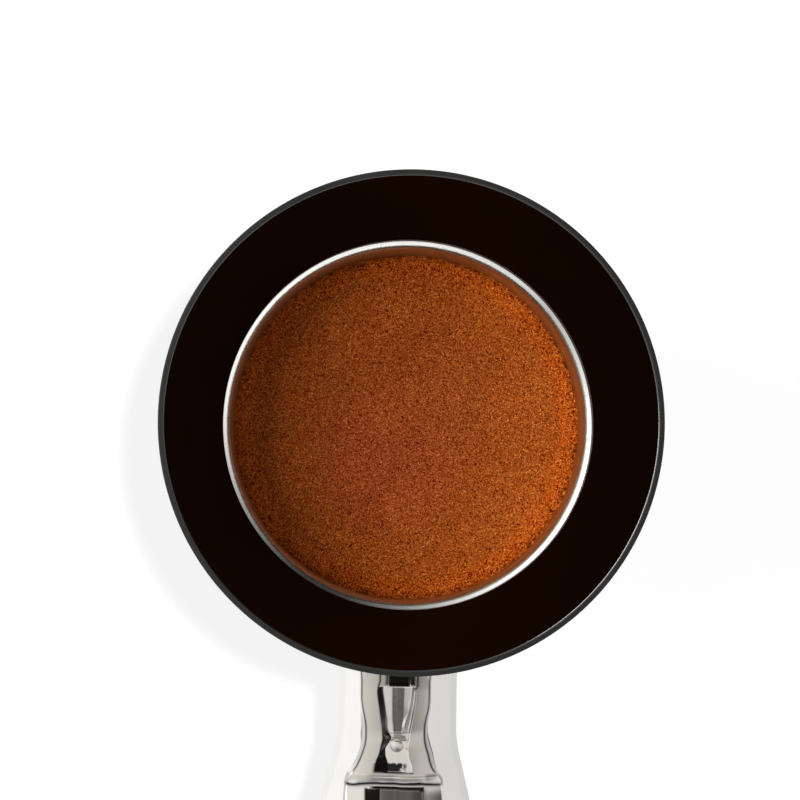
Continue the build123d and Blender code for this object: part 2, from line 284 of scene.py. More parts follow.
def times(tree, colour, factor):
    return mixColours(tree, 1.0, colour, factor, "MULTIPLY")


def tinted(tree, share, colour, factor):
    # times the factor where share is 1
    return mixColours(tree, share, colour, times(tree, colour, factor))


def calc(tree, operation, first, second=0.0, third=0.0):
    node = addNode(tree, "ShaderNodeMath", operation=operation)
    for index, value in enumerate((first, second, third)):
        if isinstance(value, bpy.types.NodeSocket):
            tree.links.new(value, node.inputs[index])
        else:
            node.inputs[index].default_value = value
    return node.outputs[0]


def bump(tree, shader, height, strength, distance):
    node = addNode(tree, "ShaderNodeBump", {"Height": height, "Strength": strength, "Distance": distance})
    tree.links.new(node.outputs["Normal"], shader.inputs["Normal"])


def link(tree, value, shader, socket):
    tree.links.new(value, shader.inputs[socket])


def lengthOf(tree, x, y):
    return calc(tree, "SQRT", calc(tree, "MULTIPLY_ADD", x, x, calc(tree, "MULTIPLY", y, y)))


def radiusAndHeight(tree):
    coords = addNode(tree, "ShaderNodeTexCoord")
    parts = addNode(tree, "ShaderNodeSeparateXYZ", {"Vector": coords.outputs["Object"]})
    x, y, z = parts.outputs
    return lengthOf(tree, x, y), z, x, y


def makeChrome(name, tint, roughness, cast=False):
    material, tree, shader = newMaterial(name)
    cloud = noiseOf(tree, objectCoords(tree), scale=260, detail=3)
    fine = noiseOf(tree, objectCoords(tree, (1, 0.08, 1)), scale=9000, detail=2)
    shader.inputs["Metallic"].default_value = 1
    colour = ramp(tree, cloud, ((0.3, tuple(c * 0.97 for c in tint)), (0.7, tint)))
    if cast:
        # painted shade and painted reflection from the casting's mesh, darker where the value is lower
        paintedShade = addNode(tree, "ShaderNodeAttribute", attribute_name="paintedShade").outputs["Fac"]
        colour = times(tree, colour, fade(tree, paintedShade, (0.0, 0.0), (1.0, 1.0)))
    link(tree, colour, shader, "Base Color")
    link(tree, fade(tree, fine, (0.35, roughness * 0.7), (0.75, roughness * 1.5)), shader, "Roughness")
    bump(tree, shader, cloud, strength=0.04, distance=0.00004)
    return material


boreReflection = {
    "levels": (puckTop - 1.6, puckTop - 0.3, puckTop + 1.5, flangeZ - 0.3),   # starts, is full, thins, ends
    "shaded": (0.43, 0.38, 0.17),
    "lit": (0.46, 0.54, 0.46),
}


def paintBoreReflection(tree, colour, height, across):
    # painted reflection of the coffee on the wall, brown, with a painted lit side and a painted shaded side
    brownReflection = boreReflection
    low, high = brownReflection["levels"][0], brownReflection["levels"][-1]
    share = calc(tree, "DIVIDE", calc(tree, "SUBTRACT", height, low * mm), (high - low) * mm)
    places = [(level - low) / (high - low) for level in brownReflection["levels"]]
    unpainted = fade(tree, share, *zip(places, (1.0, 0.0, 0.0, 1.0)))
    side = calc(tree, "MULTIPLY_ADD", across, 0.5 / (flangeR * mm), 0.5)
    reflectedCoffee = ramp(tree, side, ((0.25, brownReflection["shaded"]), (0.80, brownReflection["lit"])))
    return mixColours(tree, unpainted, reflectedCoffee, colour)


lipDust = {
    "fullR": 29.5,
    "endR": 30.2,
    "depth": 1.5,                            # below the flange
    "pitch": 4200,
    "colour": (0.34, 0.31, 0.21),
    "relief": 5.0,
}


def dustLip(tree, colour, radius, height):
    # coffee dust along the inner edge of the lip
    dust = lipDust
    share = calc(tree, "DIVIDE", radius, flangeR * mm)
    near = fade(tree, share, (dust["fullR"] / flangeR, 1.0), (dust["endR"] / flangeR, 0.0))
    near = calc(tree, "MULTIPLY", near, calc(tree, "GREATER_THAN", height, (flangeZ - dust["depth"]) * mm))
    spots = noiseOf(tree, objectCoords(tree), scale=dust["pitch"], detail=2)
    spots = fade(tree, spots, (0.42, 0.0), (0.54, 1.0))
    return mixColours(tree, calc(tree, "MULTIPLY", spots, near), colour, dust["colour"])


def makeBrushed(name, tint, roughness, reflectsCoffee=False, dusty=False):
    # a turned metal, with its streaks round Z
    material, tree, shader = newMaterial(name)
    radius, height, x, _ = radiusAndHeight(tree)
    turned = addNode(tree, "ShaderNodeCombineXYZ",
                     {"X": radius, "Y": calc(tree, "MULTIPLY", x, 0.02), "Z": height})
    streak = noiseOf(tree, turned.outputs[0], scale=4000, detail=3, roughness=0.7)
    blotch = noiseOf(tree, objectCoords(tree), scale=180, detail=3)
    shader.inputs["Metallic"].default_value = 1
    colour = ramp(tree, blotch, ((0.25, tuple(c * 0.93 for c in tint)), (0.75, tint)))
    link(tree, fade(tree, streak, (0.3, roughness * 0.7), (0.7, roughness * 1.4)), shader, "Roughness")
    # painted reflection of the coffee on the bore
    if reflectsCoffee:
        colour = paintBoreReflection(tree, colour, height, x)
    if dusty:
        colour = dustLip(tree, colour, radius, height)
        grit = noiseOf(tree, objectCoords(tree), scale=7000, detail=2)
        streak = calc(tree, "MULTIPLY_ADD", grit, lipDust["relief"], streak)
    link(tree, colour, shader, "Base Color")
    bump(tree, shader, streak, strength=0.12, distance=0.00003)
    return material


def makeDull(name, dark, light, roughness, grain, relief):
    material, tree, shader = newMaterial(name)
    coords = objectCoords(tree)
    fine = noiseOf(tree, coords, scale=grain, detail=3, roughness=0.6)
    cloud = noiseOf(tree, coords, scale=grain / 30, detail=3)
    tones = ((0.3, dark), (0.7, light))
    colour = mixColours(tree, 0.5, ramp(tree, fine, tones), ramp(tree, cloud, tones))
    link(tree, colour, shader, "Base Color")
    link(tree, fade(tree, cloud, (0.3, roughness * 0.88), (0.7, roughness * 1.12)), shader, "Roughness")
    bump(tree, shader, fine, strength=0.35, distance=relief)
    return material


def makeFunnelBlack(name, low, high, roughness, specular, paintedSideShade=False):
    material, tree, shader = newMaterial(name)
    coords = objectCoords(tree)
    blast = noiseOf(tree, coords, scale=5200, detail=2, roughness=0.6)
    cloud = noiseOf(tree, coords, scale=90, detail=2)
    tone = mixColours(tree, 0.5, ramp(tree, blast, ((0.3, low), (0.75, high))),
                      ramp(tree, cloud, ((0.3, low), (0.7, high))))
    if paintedSideShade:
        # painted shade: the inside is darker towards +X, the side the key light falls on
        across = calc(tree, "MULTIPLY_ADD", radiusAndHeight(tree)[2], 12.0, 0.5)
        tone = times(tree, tone, fade(tree, across, (0.1, 0.9), (0.9, 0.22)))
    link(tree, tone, shader, "Base Color")
    link(tree, fade(tree, cloud, (0.3, roughness * 0.92), (0.7, roughness * 1.08)), shader, "Roughness")
    shader.inputs["Specular IOR Level"].default_value = specular
    bump(tree, shader, blast, strength=0.2, distance=0.00003)
    return material


coffeeLook = {
    "crumbs": 7800.0,                        # to a metre, and so are specks and gaps
    "crumbTones": ((0.00, (0.120, 0.011, 0.001)), (0.50, (0.276, 0.047, 0.0066)),
                   (0.92, (0.430, 0.115, 0.0230)), (1.00, (0.650, 0.240, 0.0640))),
    "specks": 5200.0,
    "darkSpeck": (0.30, 0.10, 0.05),
    "paleSpeck": (1.5, 1.7, 1.6),
    "ring": (1.45, 1.24, 0.80),              # the looser, more orange ring near the wall
    "ringStrength": 0.62,
    "outer": (1.11, 1.13, 0.88),             # less grey away from the middle
    "paintedLight": (1.27, 1.30, 1.34),               # painted light: lighter to the right and a little to the front
    "paintedLightLean": -0.35,
    "patch": (1.09, 0.97, 1.34),             # a redder patch near the middle
    "patchPlace": (-3.6, -6.5),
    "patchR": 14.0,
    "gaps": 2900.0,                          # painted shade in the gaps between the crumbs at the wall
    "gapShade": (0.40, 0.34, 0.30),
    "roughness": 0.85,
    "specular": 0.06,
}


def crumbs(tree, coords, scale, channel):
    # one random level for each crumb
    cells = addNode(tree, "ShaderNodeTexVoronoi", {"Vector": coords, "Scale": scale, "Randomness": 1.0})
    return addNode(tree, "ShaderNodeSeparateColor", {"Color": cells.outputs["Color"]}).outputs[channel]


def makeCoffee():
    look = coffeeLook
    material, tree, shader = newMaterial("pressedCoffee")
    radius, _, x, y = radiusAndHeight(tree)
    coords = objectCoords(tree)
    out = calc(tree, "DIVIDE", radius, puckR * mm)       # 0 in the middle, 1 at the wall
    grain = crumbs(tree, coords, look["crumbs"], "Red")
    fine = fade(tree, noiseOf(tree, coords, scale=3000, detail=3, roughness=0.7), (0.3, 0.82), (0.7, 1.17))
    cloud = fade(tree, noiseOf(tree, coords, scale=110, detail=4, roughness=0.6), (0.3, 0.81), (0.7, 0.99))
    colour = times(tree, times(tree, ramp(tree, grain, look["crumbTones"]), fine), cloud)
    # dark and pale specks, with more dark ones where the crumbs are loose
    speck = crumbs(tree, coords, look["specks"], "Green")
    speck = calc(tree, "SUBTRACT", speck, fade(tree, out, (0.84, 0.0), (0.96, 0.10)))
    specks = ((0.06, look["darkSpeck"]), (0.10, grey(1.0)), (0.97, grey(1.0)), (0.99, look["paleSpeck"]))
    colour = times(tree, colour, ramp(tree, speck, specks))
    ring = calc(tree, "MULTIPLY", fade(tree, out, (0.86, 0.0), (0.93, 1.0)), look["ringStrength"])
    colour = tinted(tree, ring, colour, look["ring"])
    colour = tinted(tree, fade(tree, out, (0.35, 0.0), (0.80, 1.0)), colour, look["outer"])
    # painted light: the coffee is lighter towards the right and a little to the front
    aslant = calc(tree, "DIVIDE", calc(tree, "MULTIPLY_ADD", y, look["paintedLightLean"], x), puckR * mm)
    colour = tinted(tree, fade(tree, aslant, (0.0, 0.0), (0.95, 1.0)), colour, look["paintedLight"])
    patchX, patchY = look["patchPlace"]
    away = lengthOf(tree, calc(tree, "SUBTRACT", x, patchX * mm), calc(tree, "SUBTRACT", y, patchY * mm))
    away = calc(tree, "DIVIDE", away, look["patchR"] * mm)
    colour = tinted(tree, fade(tree, away, (0.35, 1.0), (1.0, 0.0)), colour, look["patch"])
    # painted shade in the gaps between the crumbs, near the wall
    gap = fade(tree, crumbs(tree, coords, look["gaps"], "Blue"), (0.34, 1.0), (0.40, 0.0))
    gap = calc(tree, "MULTIPLY", gap, fade(tree, out, (0.970, 0.0), (0.995, 1.0)))
    colour = tinted(tree, gap, colour, look["gapShade"])
    link(tree, colour, shader, "Base Color")
    shader.inputs["Roughness"].default_value = look["roughness"]
    shader.inputs["Specular IOR Level"].default_value = look["specular"]
    bump(tree, shader, grain, strength=0.25, distance=0.00004)
    return material


chrome = makeChrome("chromePlate", tint=(0.65, 0.645, 0.635), roughness=0.05)
castChrome = makeChrome("castChrome", tint=(0.91, 0.893, 0.866), roughness=0.05, cast=True)
steel = makeBrushed("basketSteel", tint=(0.86, 0.85, 0.83), roughness=0.18, dusty=True)
# the bore carries a painted brown reflection of the coffee
boreSteel = makeBrushed("basketBoreSteel", tint=(0.72, 0.66, 0.54), roughness=0.34, reflectsCoffee=True)
springSteel = makeBrushed("springSteel", tint=(0.62, 0.61, 0.60), roughness=0.22)
zincSteel = makeBrushed("zincSteel", tint=(0.60, 0.61, 0.64), roughness=0.3)
brass = makeBrushed("turnedBrass", tint=(0.78, 0.58, 0.28), roughness=0.25)
nickel = makeBrushed("nickelPlate", tint=(0.70, 0.68, 0.63), roughness=0.12)
funnelOutside = makeFunnelBlack("blackAnodised", grey(0.012), grey(0.020), roughness=0.42, specular=0.25)
# the inside has painted shade, darker towards +X
funnelInside = makeFunnelBlack("blackAnodisedInside", (0.0120, 0.0035, 0.0006), (0.0170, 0.0050, 0.0009),
                               roughness=0.5, specular=0.0, paintedSideShade=True)
funnelEdge = makeFunnelBlack("blackAnodisedEdge", (0.014, 0.012, 0.010), (0.020, 0.017, 0.014),
                             roughness=0.2, specular=1.0)
gripBlack = makeDull("gripPhenolic", (0.012, 0.012, 0.012), (0.024, 0.024, 0.025),
                     roughness=0.36, grain=2600, relief=0.00003)
fibre = makeDull("sealFibre", (0.07, 0.025, 0.015), (0.12, 0.045, 0.03),
                 roughness=0.7, grain=3000, relief=0.00005)
coffee = makeCoffee()
print("materials ready")


funnel = {
    "throatR": 30.54,
    "throatTop": 4.1,
    "lipWidth": 0.9,
    "lipRound": 0.38,
    "crown": 0.09,                           # the lip's outer edge is this much lower
    "band": 3.0,
    "skirtR": 38.0,
    "skirtTop": 4.9,
    "skirtBoreR": 35.3,
    "ringGap": 0.02,
    "insideMargin": 0.12,                    # how the finishes are told apart
    "edgeDepth": 0.4,
    "flatTop": 0.99,
}


def makeFunnel():
    body = turnPiece("funnelShell", (
        (funnel["throatR"], ringTop, 0),
        (funnel["throatR"], funnel["throatTop"], 0.8),
        (funnelR - funnel["lipWidth"], funnelTop, funnel["lipRound"]),
        (funnelR, funnelTop - funnel["crown"], 0.15),
        (funnelR, funnelTop - funnel["band"], 2.0),
        (funnel["skirtR"], funnel["skirtTop"], 2.0),
        (funnel["skirtR"], funnelLow, 0.4),
        (funnel["skirtBoreR"], funnelLow, 0.3),
        (funnel["skirtBoreR"], ringTop, 0),
    ), steps=256)
    smooth(body, 30)
    dress(body, funnelOutside, "funnel", "black_anodised", "funnel_body")
    body.data.materials.append(funnelInside)
    body.data.materials.append(funnelEdge)
    lipR = funnelR - funnel["lipWidth"]
    slope = (lipR - funnel["throatR"]) / (funnelTop - funnel["throatTop"])
    for face in body.data.polygons:
        radius = math.hypot(face.center.x, face.center.y) / mm
        height = face.center.z / mm
        cone = funnel["throatR"] + (height - funnel["throatTop"]) * slope
        if radius < cone + funnel["insideMargin"] and height > ringTop:
            face.material_index = 1          # inside
        onEdge = height > funnelTop - funnel["edgeDepth"] and radius < lipR + funnel["lipRound"]
        if onEdge and abs(face.normal.z) < funnel["flatTop"]:
            face.material_index = 2          # the lip's inner edge
    ringR = funnel["skirtBoreR"] - funnel["ringGap"]
    ring = turnPiece("funnelMagnetRing", (
        (funnel["throatR"], ringLow, 0.12),
        (funnel["throatR"], ringTop, 0),
        (ringR, ringTop, 0),
        (ringR, ringLow, 0.12),
    ), steps=256)
    smooth(ring, 30)
    dress(ring, funnelInside, "funnel", "black_anodised", "funnel_magnet_ring")


basket = {
    "boreR": 29.25,
    "sheet": 0.7,
    "lipR": 30.62,
    "lipDrop": 0.85,
    "lipRound": 1.9,
    "taperStart": -9.0,
    "lowBoreR": 29.05,
    "lowShift": (0.2, -0.08),                # the cup is pressed a little out of the flange's middle
    "shiftDrop": 2.0,
    "floorR": 27.45,
    "cornerRound": 3.0,
    "holeR": 0.5,
    "holePitch": 3.6,
    "holeField": 22.95,                      # radius of the drilled part of the floor
    "boreFinishShift": (0.14, -0.14),            # the rough bore finish, with its painted reflection of the coffee, reaches a little wider on one side
    "boreFinishWidth": 0.50,
    "boreFinishDrop": 0.2,
}


def drillHoles(floorTop):
    # the drills for the hexagonal field of drip holes, as one piece
    clearSelection()
    bpy.ops.mesh.primitive_cylinder_add(vertices=12, radius=basket["holeR"] * mm,
                                        depth=4 * basket["sheet"] * mm, location=(0, 0, floorTop * mm))
    drill = bpy.context.object
    drills = []
    for column in range(-9, 9):
        for row in range(-8, 9):
            x = (column + 0.5) * basket["holePitch"] * math.sqrt(3) / 2
            y = (row + (0.25 if column % 2 else -0.25)) * basket["holePitch"]
            if math.hypot(x, y) < basket["holeField"]:
                another = drill.copy()
                another.data = drill.data.copy()
                another.location = (x * mm, y * mm, floorTop * mm)
                bpy.context.scene.collection.objects.link(another)
                drills.append(another)
    bpy.data.objects.remove(drill)
    drills = joinPieces(*drills)
    applyPlace(drills)
    return drills


def makeBasket():
    floorTop = basketLow + basket["sheet"]
    shell = turnPiece("basketShell", (
        (0, floorTop, 0),
        (basket["floorR"], floorTop, basket["cornerRound"]),
        (basket["lowBoreR"], basket["taperStart"], 0),
        (basket["boreR"], flangeZ - basket["lipDrop"], basket["lipRound"]),
        (basket["lipR"], flangeZ, 0.1),
        (flangeR, flangeZ, 0.2),
        (flangeR, rimZ, 0.15),
        (basket["boreR"] + basket["sheet"], rimZ - 0.4, 0.3),
        (basket["boreR"] + basket["sheet"], basket["taperStart"], 0),
        (basket["floorR"] + basket["sheet"], basketLow, basket["cornerRound"] + basket["sheet"]),
        (0, basketLow, 0),
    ), steps=256, arcSteps=10)
    combine(shell, drillHoles(floorTop), "DIFFERENCE")
    shiftX, shiftY = basket["lowShift"]
    shiftTop = flangeZ - basket["shiftDrop"]
    for vertex in shell.data.vertices:
        share = min(max((vertex.co.z / mm - shiftTop) / (basket["taperStart"] - shiftTop), 0), 1)
        vertex.co.x += shiftX * share * mm
        vertex.co.y += shiftY * share * mm
    smooth(shell, 30)
    dress(shell, steel, "basket", "stainless", "filter_basket")
    shell.data.materials.append(boreSteel)
    shiftX, shiftY = basket["boreFinishShift"]
    boreFinishR = basket["boreR"] + basket["boreFinishWidth"]
    boreFinishTop = flangeZ - basket["boreFinishDrop"]
    # these inside faces get the bore finish, which carries the painted reflection of the coffee
    for face in shell.data.polygons:
        centre = face.center / mm
        inward = face.normal.x * centre.x + face.normal.y * centre.y < -0.001 or face.normal.z > 0.9
        if inward and math.hypot(centre.x - shiftX, centre.y - shiftY) < boreFinishR and centre.z < boreFinishTop:
            face.material_index = 1


puck = {
    "cells": 210,
    # layers of noise: pitch, seed, height
    "grain": ((0.42, 3, 0.03), (0.27, 4, 0.02)),
    "soft": ((1.3, 5, 0.03), (4.1, 6, 0.02)),
    "lumps": ((0.7, 7, 0.132), (0.45, 8, 0.088)),        # only near the wall
    "lumpsFrom": 0.90,
    "lowR": 27.15,
    "topR": 29.06,
    "lowGap": 0.02,
}


def hashNoise(x, y, pitch, seed):
    # smooth random field on a square lattice of the given pitch
    size = 512
    gx = x / pitch + 1000                    # whole numbers stay positive
    gy = y / pitch + 1000
    ix = np.floor(gx).astype(int)
    iy = np.floor(gy).astype(int)
    fx = gx - ix
    fy = gy - iy
    sx = fx * fx * (3 - 2 * fx)
    sy = fy * fy * (3 - 2 * fy)
    table = np.random.RandomState(seed).rand(size, size)

    def corner(a, b):
        return table[(ix + a) % size, (iy + b) % size]

    low = corner(0, 0) * (1 - sx) + corner(1, 0) * sx
    high = corner(0, 1) * (1 - sx) + corner(1, 1) * sx
    return (low * (1 - sy) + high * sy) * 2 - 1


def layeredNoise(x, y, layers):
    return sum(hashNoise(x, y, pitch, seed) * strength for pitch, seed, strength in layers)


def makePuck():
    clearSelection()
    bpy.ops.mesh.primitive_grid_add(x_subdivisions=puck["cells"], y_subdivisions=puck["cells"], size=2,
                                    location=(0, 0, 0))
    top = bpy.context.object
    top.name = "coffeePuck"
    bpy.ops.object.mode_set(mode="EDIT")
    bpy.ops.mesh.select_all(action="SELECT")
    bpy.ops.mesh.region_to_loop()
    bpy.ops.mesh.extrude_region_move(TRANSFORM_OT_translate={"value": (0, 0, -1)})
    bpy.ops.mesh.edge_face_add()
    bpy.ops.object.mode_set(mode="OBJECT")
    mesh = top.data
    flat = np.empty(len(mesh.vertices) * 3)
    mesh.vertices.foreach_get("co", flat)
    co = flat.reshape(-1, 3)
    low = co[:, 2] < -0.5
    x = co[:, 0].copy()
    y = co[:, 1].copy()
    # the square grid becomes a disc
    u = x * np.sqrt(1 - y * y / 2)
    v = y * np.sqrt(1 - x * x / 2)
    share = np.sqrt(u * u + v * v)
    px = u * puckR
    py = v * puckR
    edge = np.clip((share - puck["lumpsFrom"]) / (1 - puck["lumpsFrom"]), 0, 1)
    rise = layeredNoise(px, py, puck["grain"] + puck["soft"]) + layeredNoise(px, py, puck["lumps"]) * edge
    grow = 1 + (puck["topR"] / puckR - 1) * share**4
    shiftX, shiftY = basket["lowShift"]
    co[:, 0] = (np.where(low, u * puck["lowR"], px * grow) + shiftX) * mm
    co[:, 1] = (np.where(low, v * puck["lowR"], py * grow) + shiftY) * mm
    co[:, 2] = np.where(low, puckLow + puck["lowGap"], puckTop + rise) * mm
    mesh.vertices.foreach_set("co", co.ravel())
    mesh.update()
    smooth(top, 60)
    dress(top, coffee, "puck", "coffee", "coffee_puck")


bowl = {
    "boreR": 30.6,
    "grooveR": 31.6,
    "grooveTop": -6.3,
    "grooveLow": -7.7,
    "straight": 15.0,
    "footR": 32.5,
    "insideLow": -29.5,
    "bottom": -33.0,
    "bossR": 12.5,
    "threadR": 8.35,
    "threadTop": -31.0,
    "drainR": 6.0,
    "earRootR": 32.8,
    "earR": 39.3,
    "earTop": -5.5,
    "earLow": -13.5,
    "earArc": 40,
}


def makeBowl():
    shell = turnPiece("bowlShell", (
        (bowl["drainR"], bowl["insideLow"], 0.4),
        (bowl["boreR"], bowl["insideLow"], 5.0),
        (bowl["boreR"], bowl["grooveLow"], 0),
        (bowl["grooveR"], bowl["grooveLow"], 0),
        (bowl["grooveR"], bowl["grooveTop"], 0),
        (bowl["boreR"], bowl["grooveTop"], 0),
        (bowl["boreR"], rimZ, 0.3),
        (bowlR, rimZ, 0.6),
        (bowlR, rimZ - bowl["straight"], 3.0),
        (bowl["footR"], bowl["bottom"], 9.0),
        (bowl["bossR"], bowl["bottom"], 0.8),
        (bowl["bossR"], bossLow, 0.6),
        (bowl["threadR"], bossLow, 0.3),
        (bowl["threadR"], bowl["threadTop"], 0),
        (bowl["drainR"], bowl["threadTop"], 0),
    ), steps=256)
    for side in (0, 180):
        ear = turnPiece("bowlEar", (
            (bowl["earRootR"], bowl["earTop"], 0),
            (bowl["earR"], bowl["earTop"], 0.9),
            (bowl["earR"], bowl["earLow"], 0.9),
            (bowl["earRootR"], bowl["earLow"], 0),
        ), steps=40, sweep=bowl["earArc"])
        ear.rotation_euler.z = math.radians(side + bowl["earArc"] / 2)
        applyPlace(ear)
        combine(shell, ear, "UNION")
    smooth(shell, 30)
    dress(shell, chrome, "portafilter", "chrome", "portafilter_bowl")


neck = {
    # stretches along the casting, with the rows in each
    "rows": ((-3.0, 5.6, 36), (5.6, 7.6, 30), (7.6, 14.8, 44), (14.8, 18.8, 56), (18.8, 22.8, 56),
             (22.8, 25.8, 56), (25.8, 34.0, 46), (34.0, 37.5, 20)),
    # strips across it from left to right, with the columns in each
    "strips": (("leftEdge", 7), ("leftFlank", 18), ("leftWall", 9), ("leftTop", 18), ("pocketSlope", 16),
               ("slopeFoot", 3), ("leftFloor", 16), ("core", 16), ("ribSlope", 14), ("rightFloor", 4),
               ("pocketWall", 6), ("rightTop", 20), ("rightWall", 9), ("rightFlank", 18), ("rightEdge", 7)),
    "roundedStrips": ("leftWall", "pocketSlope", "pocketWall", "rightWall"),
    "rounding": 0.3,
    "underSteps": 48,
    # distance from the bowl, half width, half height
    "sections": ((-7, 16.0, 10.6), (1.5, 11.6, 9.2), (8, 10.0, 8.4), (14.5, 10.12, 8.4), (17.5, 10.2, 8.64),
                 (24.5, 11.5, 9.3), (29.4, 12.75, 11.3), (35, 14.3, 14.3), (37.5, 14.3, 14.3)),
    "plainEnds": ((33, 99, 8.0), (-99, -1.0, 4.0)),      # from, to, fade: where the section is a plain round
    # edges along the casting as (distance, place across), left is negative
    "spineL": ((-4, -8.6), (2, -7.2), (6.7, -6.55), (9.4, -6.5), (11.2, -6.26), (12.9, -5.88), (14.7, -5.62),
               (16.1, -5.6), (17.0, -5.68), (17.9, -5.87), (18.75, -6.12), (19.6, -6.4), (20.5, -6.75),
               (21.3, -7.15), (22.2, -7.7), (24.1, -8.6), (30, -8.9), (38, -8.9)),
    "spineR": ((-4, 7.0), (2, 5.6), (6.7, 4.85), (9.4, 4.9), (11.2, 4.78), (12.9, 4.41), (14.7, 4.2),
               (16.1, 4.24), (17.5, 4.48), (18.9, 4.91), (20.3, 5.28), (21.3, 5.66), (22.2, 6.3),
               (24.1, 7.3), (30, 7.7), (38, 7.7)),
    "pocketL": ((-4, -4.4), (6.7, -3.7), (8.05, -4.0), (9.4, -3.86), (11.2, -3.56), (12.9, -3.3),
                (14.7, -3.04), (16.1, -3.0), (17.5, -3.2), (18.9, -3.5), (20.3, -4.1), (22.0, -4.4),
                (24.8, -5.85), (34, -5.6)),
    "footL": ((-4, -3.2), (8.05, -2.96), (9.4, -2.76), (11.2, -2.47), (12.9, -2.22), (14.7, -2.0),
              (15.4, -1.75), (16.2, -1.25), (17.0, -1.55), (18.2, -2.25), (19.1, -2.2), (20.3, -1.8),
              (22.0, -1.7), (24.8, -2.95), (34, -2.85)),
    "footWidth": 0.1,
    "pocketR": ((-4, 3.1), (9.4, 2.7), (11.9, 2.4), (14.7, 1.9), (16.1, 1.7), (17.5, 1.5), (18.9, 1.62),
                (20.3, 2.1), (22.0, 2.55), (24.8, 4.5), (34, 4.4)),
    "coreL": ((-4, -1.3), (9.4, -1.25), (12.9, -1.15), (14.7, -0.94), (34, -0.9)),
    "coreR": ((-4, 0.7), (9.4, 0.62), (12.9, 0.55), (14.7, 0.3), (34, 0.4)),
    "ribR": ((-4, 2.6), (9.4, 2.2), (11.9, 1.95), (14.7, 1.4), (34, 1.2)),
    # widths of the walls beside those edges
    "wallIn": ((-4, 0.4), (14.7, 0.4), (16.5, 0.2), (38, 0.2)),
    "wallL": ((-4, 0.4), (9.4, 0.25), (11.2, 0.35), (12.9, 0.6), (14.7, 0.75), (16.1, 0.85), (17.5, 0.6),
              (18.9, 0.5), (22.4, 0.6), (24.4, 0.35), (38, 0.35)),
    "wallR": ((-4, 0.4), (9.4, 0.3), (12.9, 0.5), (16.1, 0.7), (17.5, 0.85), (18.9, 0.9), (21.3, 0.8),
              (22.6, 0.4), (38, 0.45)),
    # heights: the spine over the crown, the pocket's floor over the axis, the rib over the floor
    "rise": ((-4, 0.4), (6, 0.65), (14, 0.85), (18, 0.95), (22.6, 1.0), (23.4, 0.86), (24.1, 0.66),
             (24.5, 0.5), (24.75, 0.44), (25.6, 0.42), (27, 0.45), (33, 0.45), (34.8, 0.0), (38, 0.0)),
    "floor": ((-4, 8.0), (14, 8.0), (16, 8.1), (18, 8.5), (19.6, 9.0), (21, 9.5), (22.15, 9.95), (23, 10.4),
              (25, 10.7), (26, 10.7), (34, 10.7)),
    "floorRight": ((-4, -0.05), (14, -0.05), (18, 0.0), (38, 0.0)),
    "rib": ((-4, 0.60), (9.4, 0.52), (12, 0.44), (14.4, 0.38), (15.0, 0.34), (16.4, 0.0), (38, 0.0)),
    "pockets": ((7.35, 21.95, 0.25), (25.25, 33.6, 0.4)),        # from, to, fade of the pocket and the panel
    "socket": (-1.9, 1.5, 0.3),              # left, right, fade
    "socketLength": (2.0, 7.0, 0.35),        # from, to, fade
    "socketDepth": (1.3, 0.75, 2.2),         # depth, and how much less over the last stretch
    # how far the step's edge leads, by its place across, and from, to and fade of that lead
    "stepLead": ((-9, 0.1), (-7.2, 0.17), (-5.2, 0.5), (-3.5, 0.68), (-0.8, 0.7), (0.6, 0.6), (3.3, 0.52),
                 (5.7, 0.43), (7.5, 0.3)),
    "stepReach": (23.0, 29.0, 1.6),
    "ring": (15.65, 16.55, -1.4, 1.3, 0.6, 0.15),        # from, to, left, right, fade, rise
    "ball": (17.55, 1.03, -0.35),            # distance, radius, place across
    "ballRise": 0.24,
    "lean": -0.55,                           # the crown leans to one side
    "shift": 0.12,                           # of the whole casting to the right
    "flat": 0.42,                            # how much flatter than round the crown is
    "edgeStrip": (1.05, 1.6, -1.0),          # width, height of its upper and lower edge
}
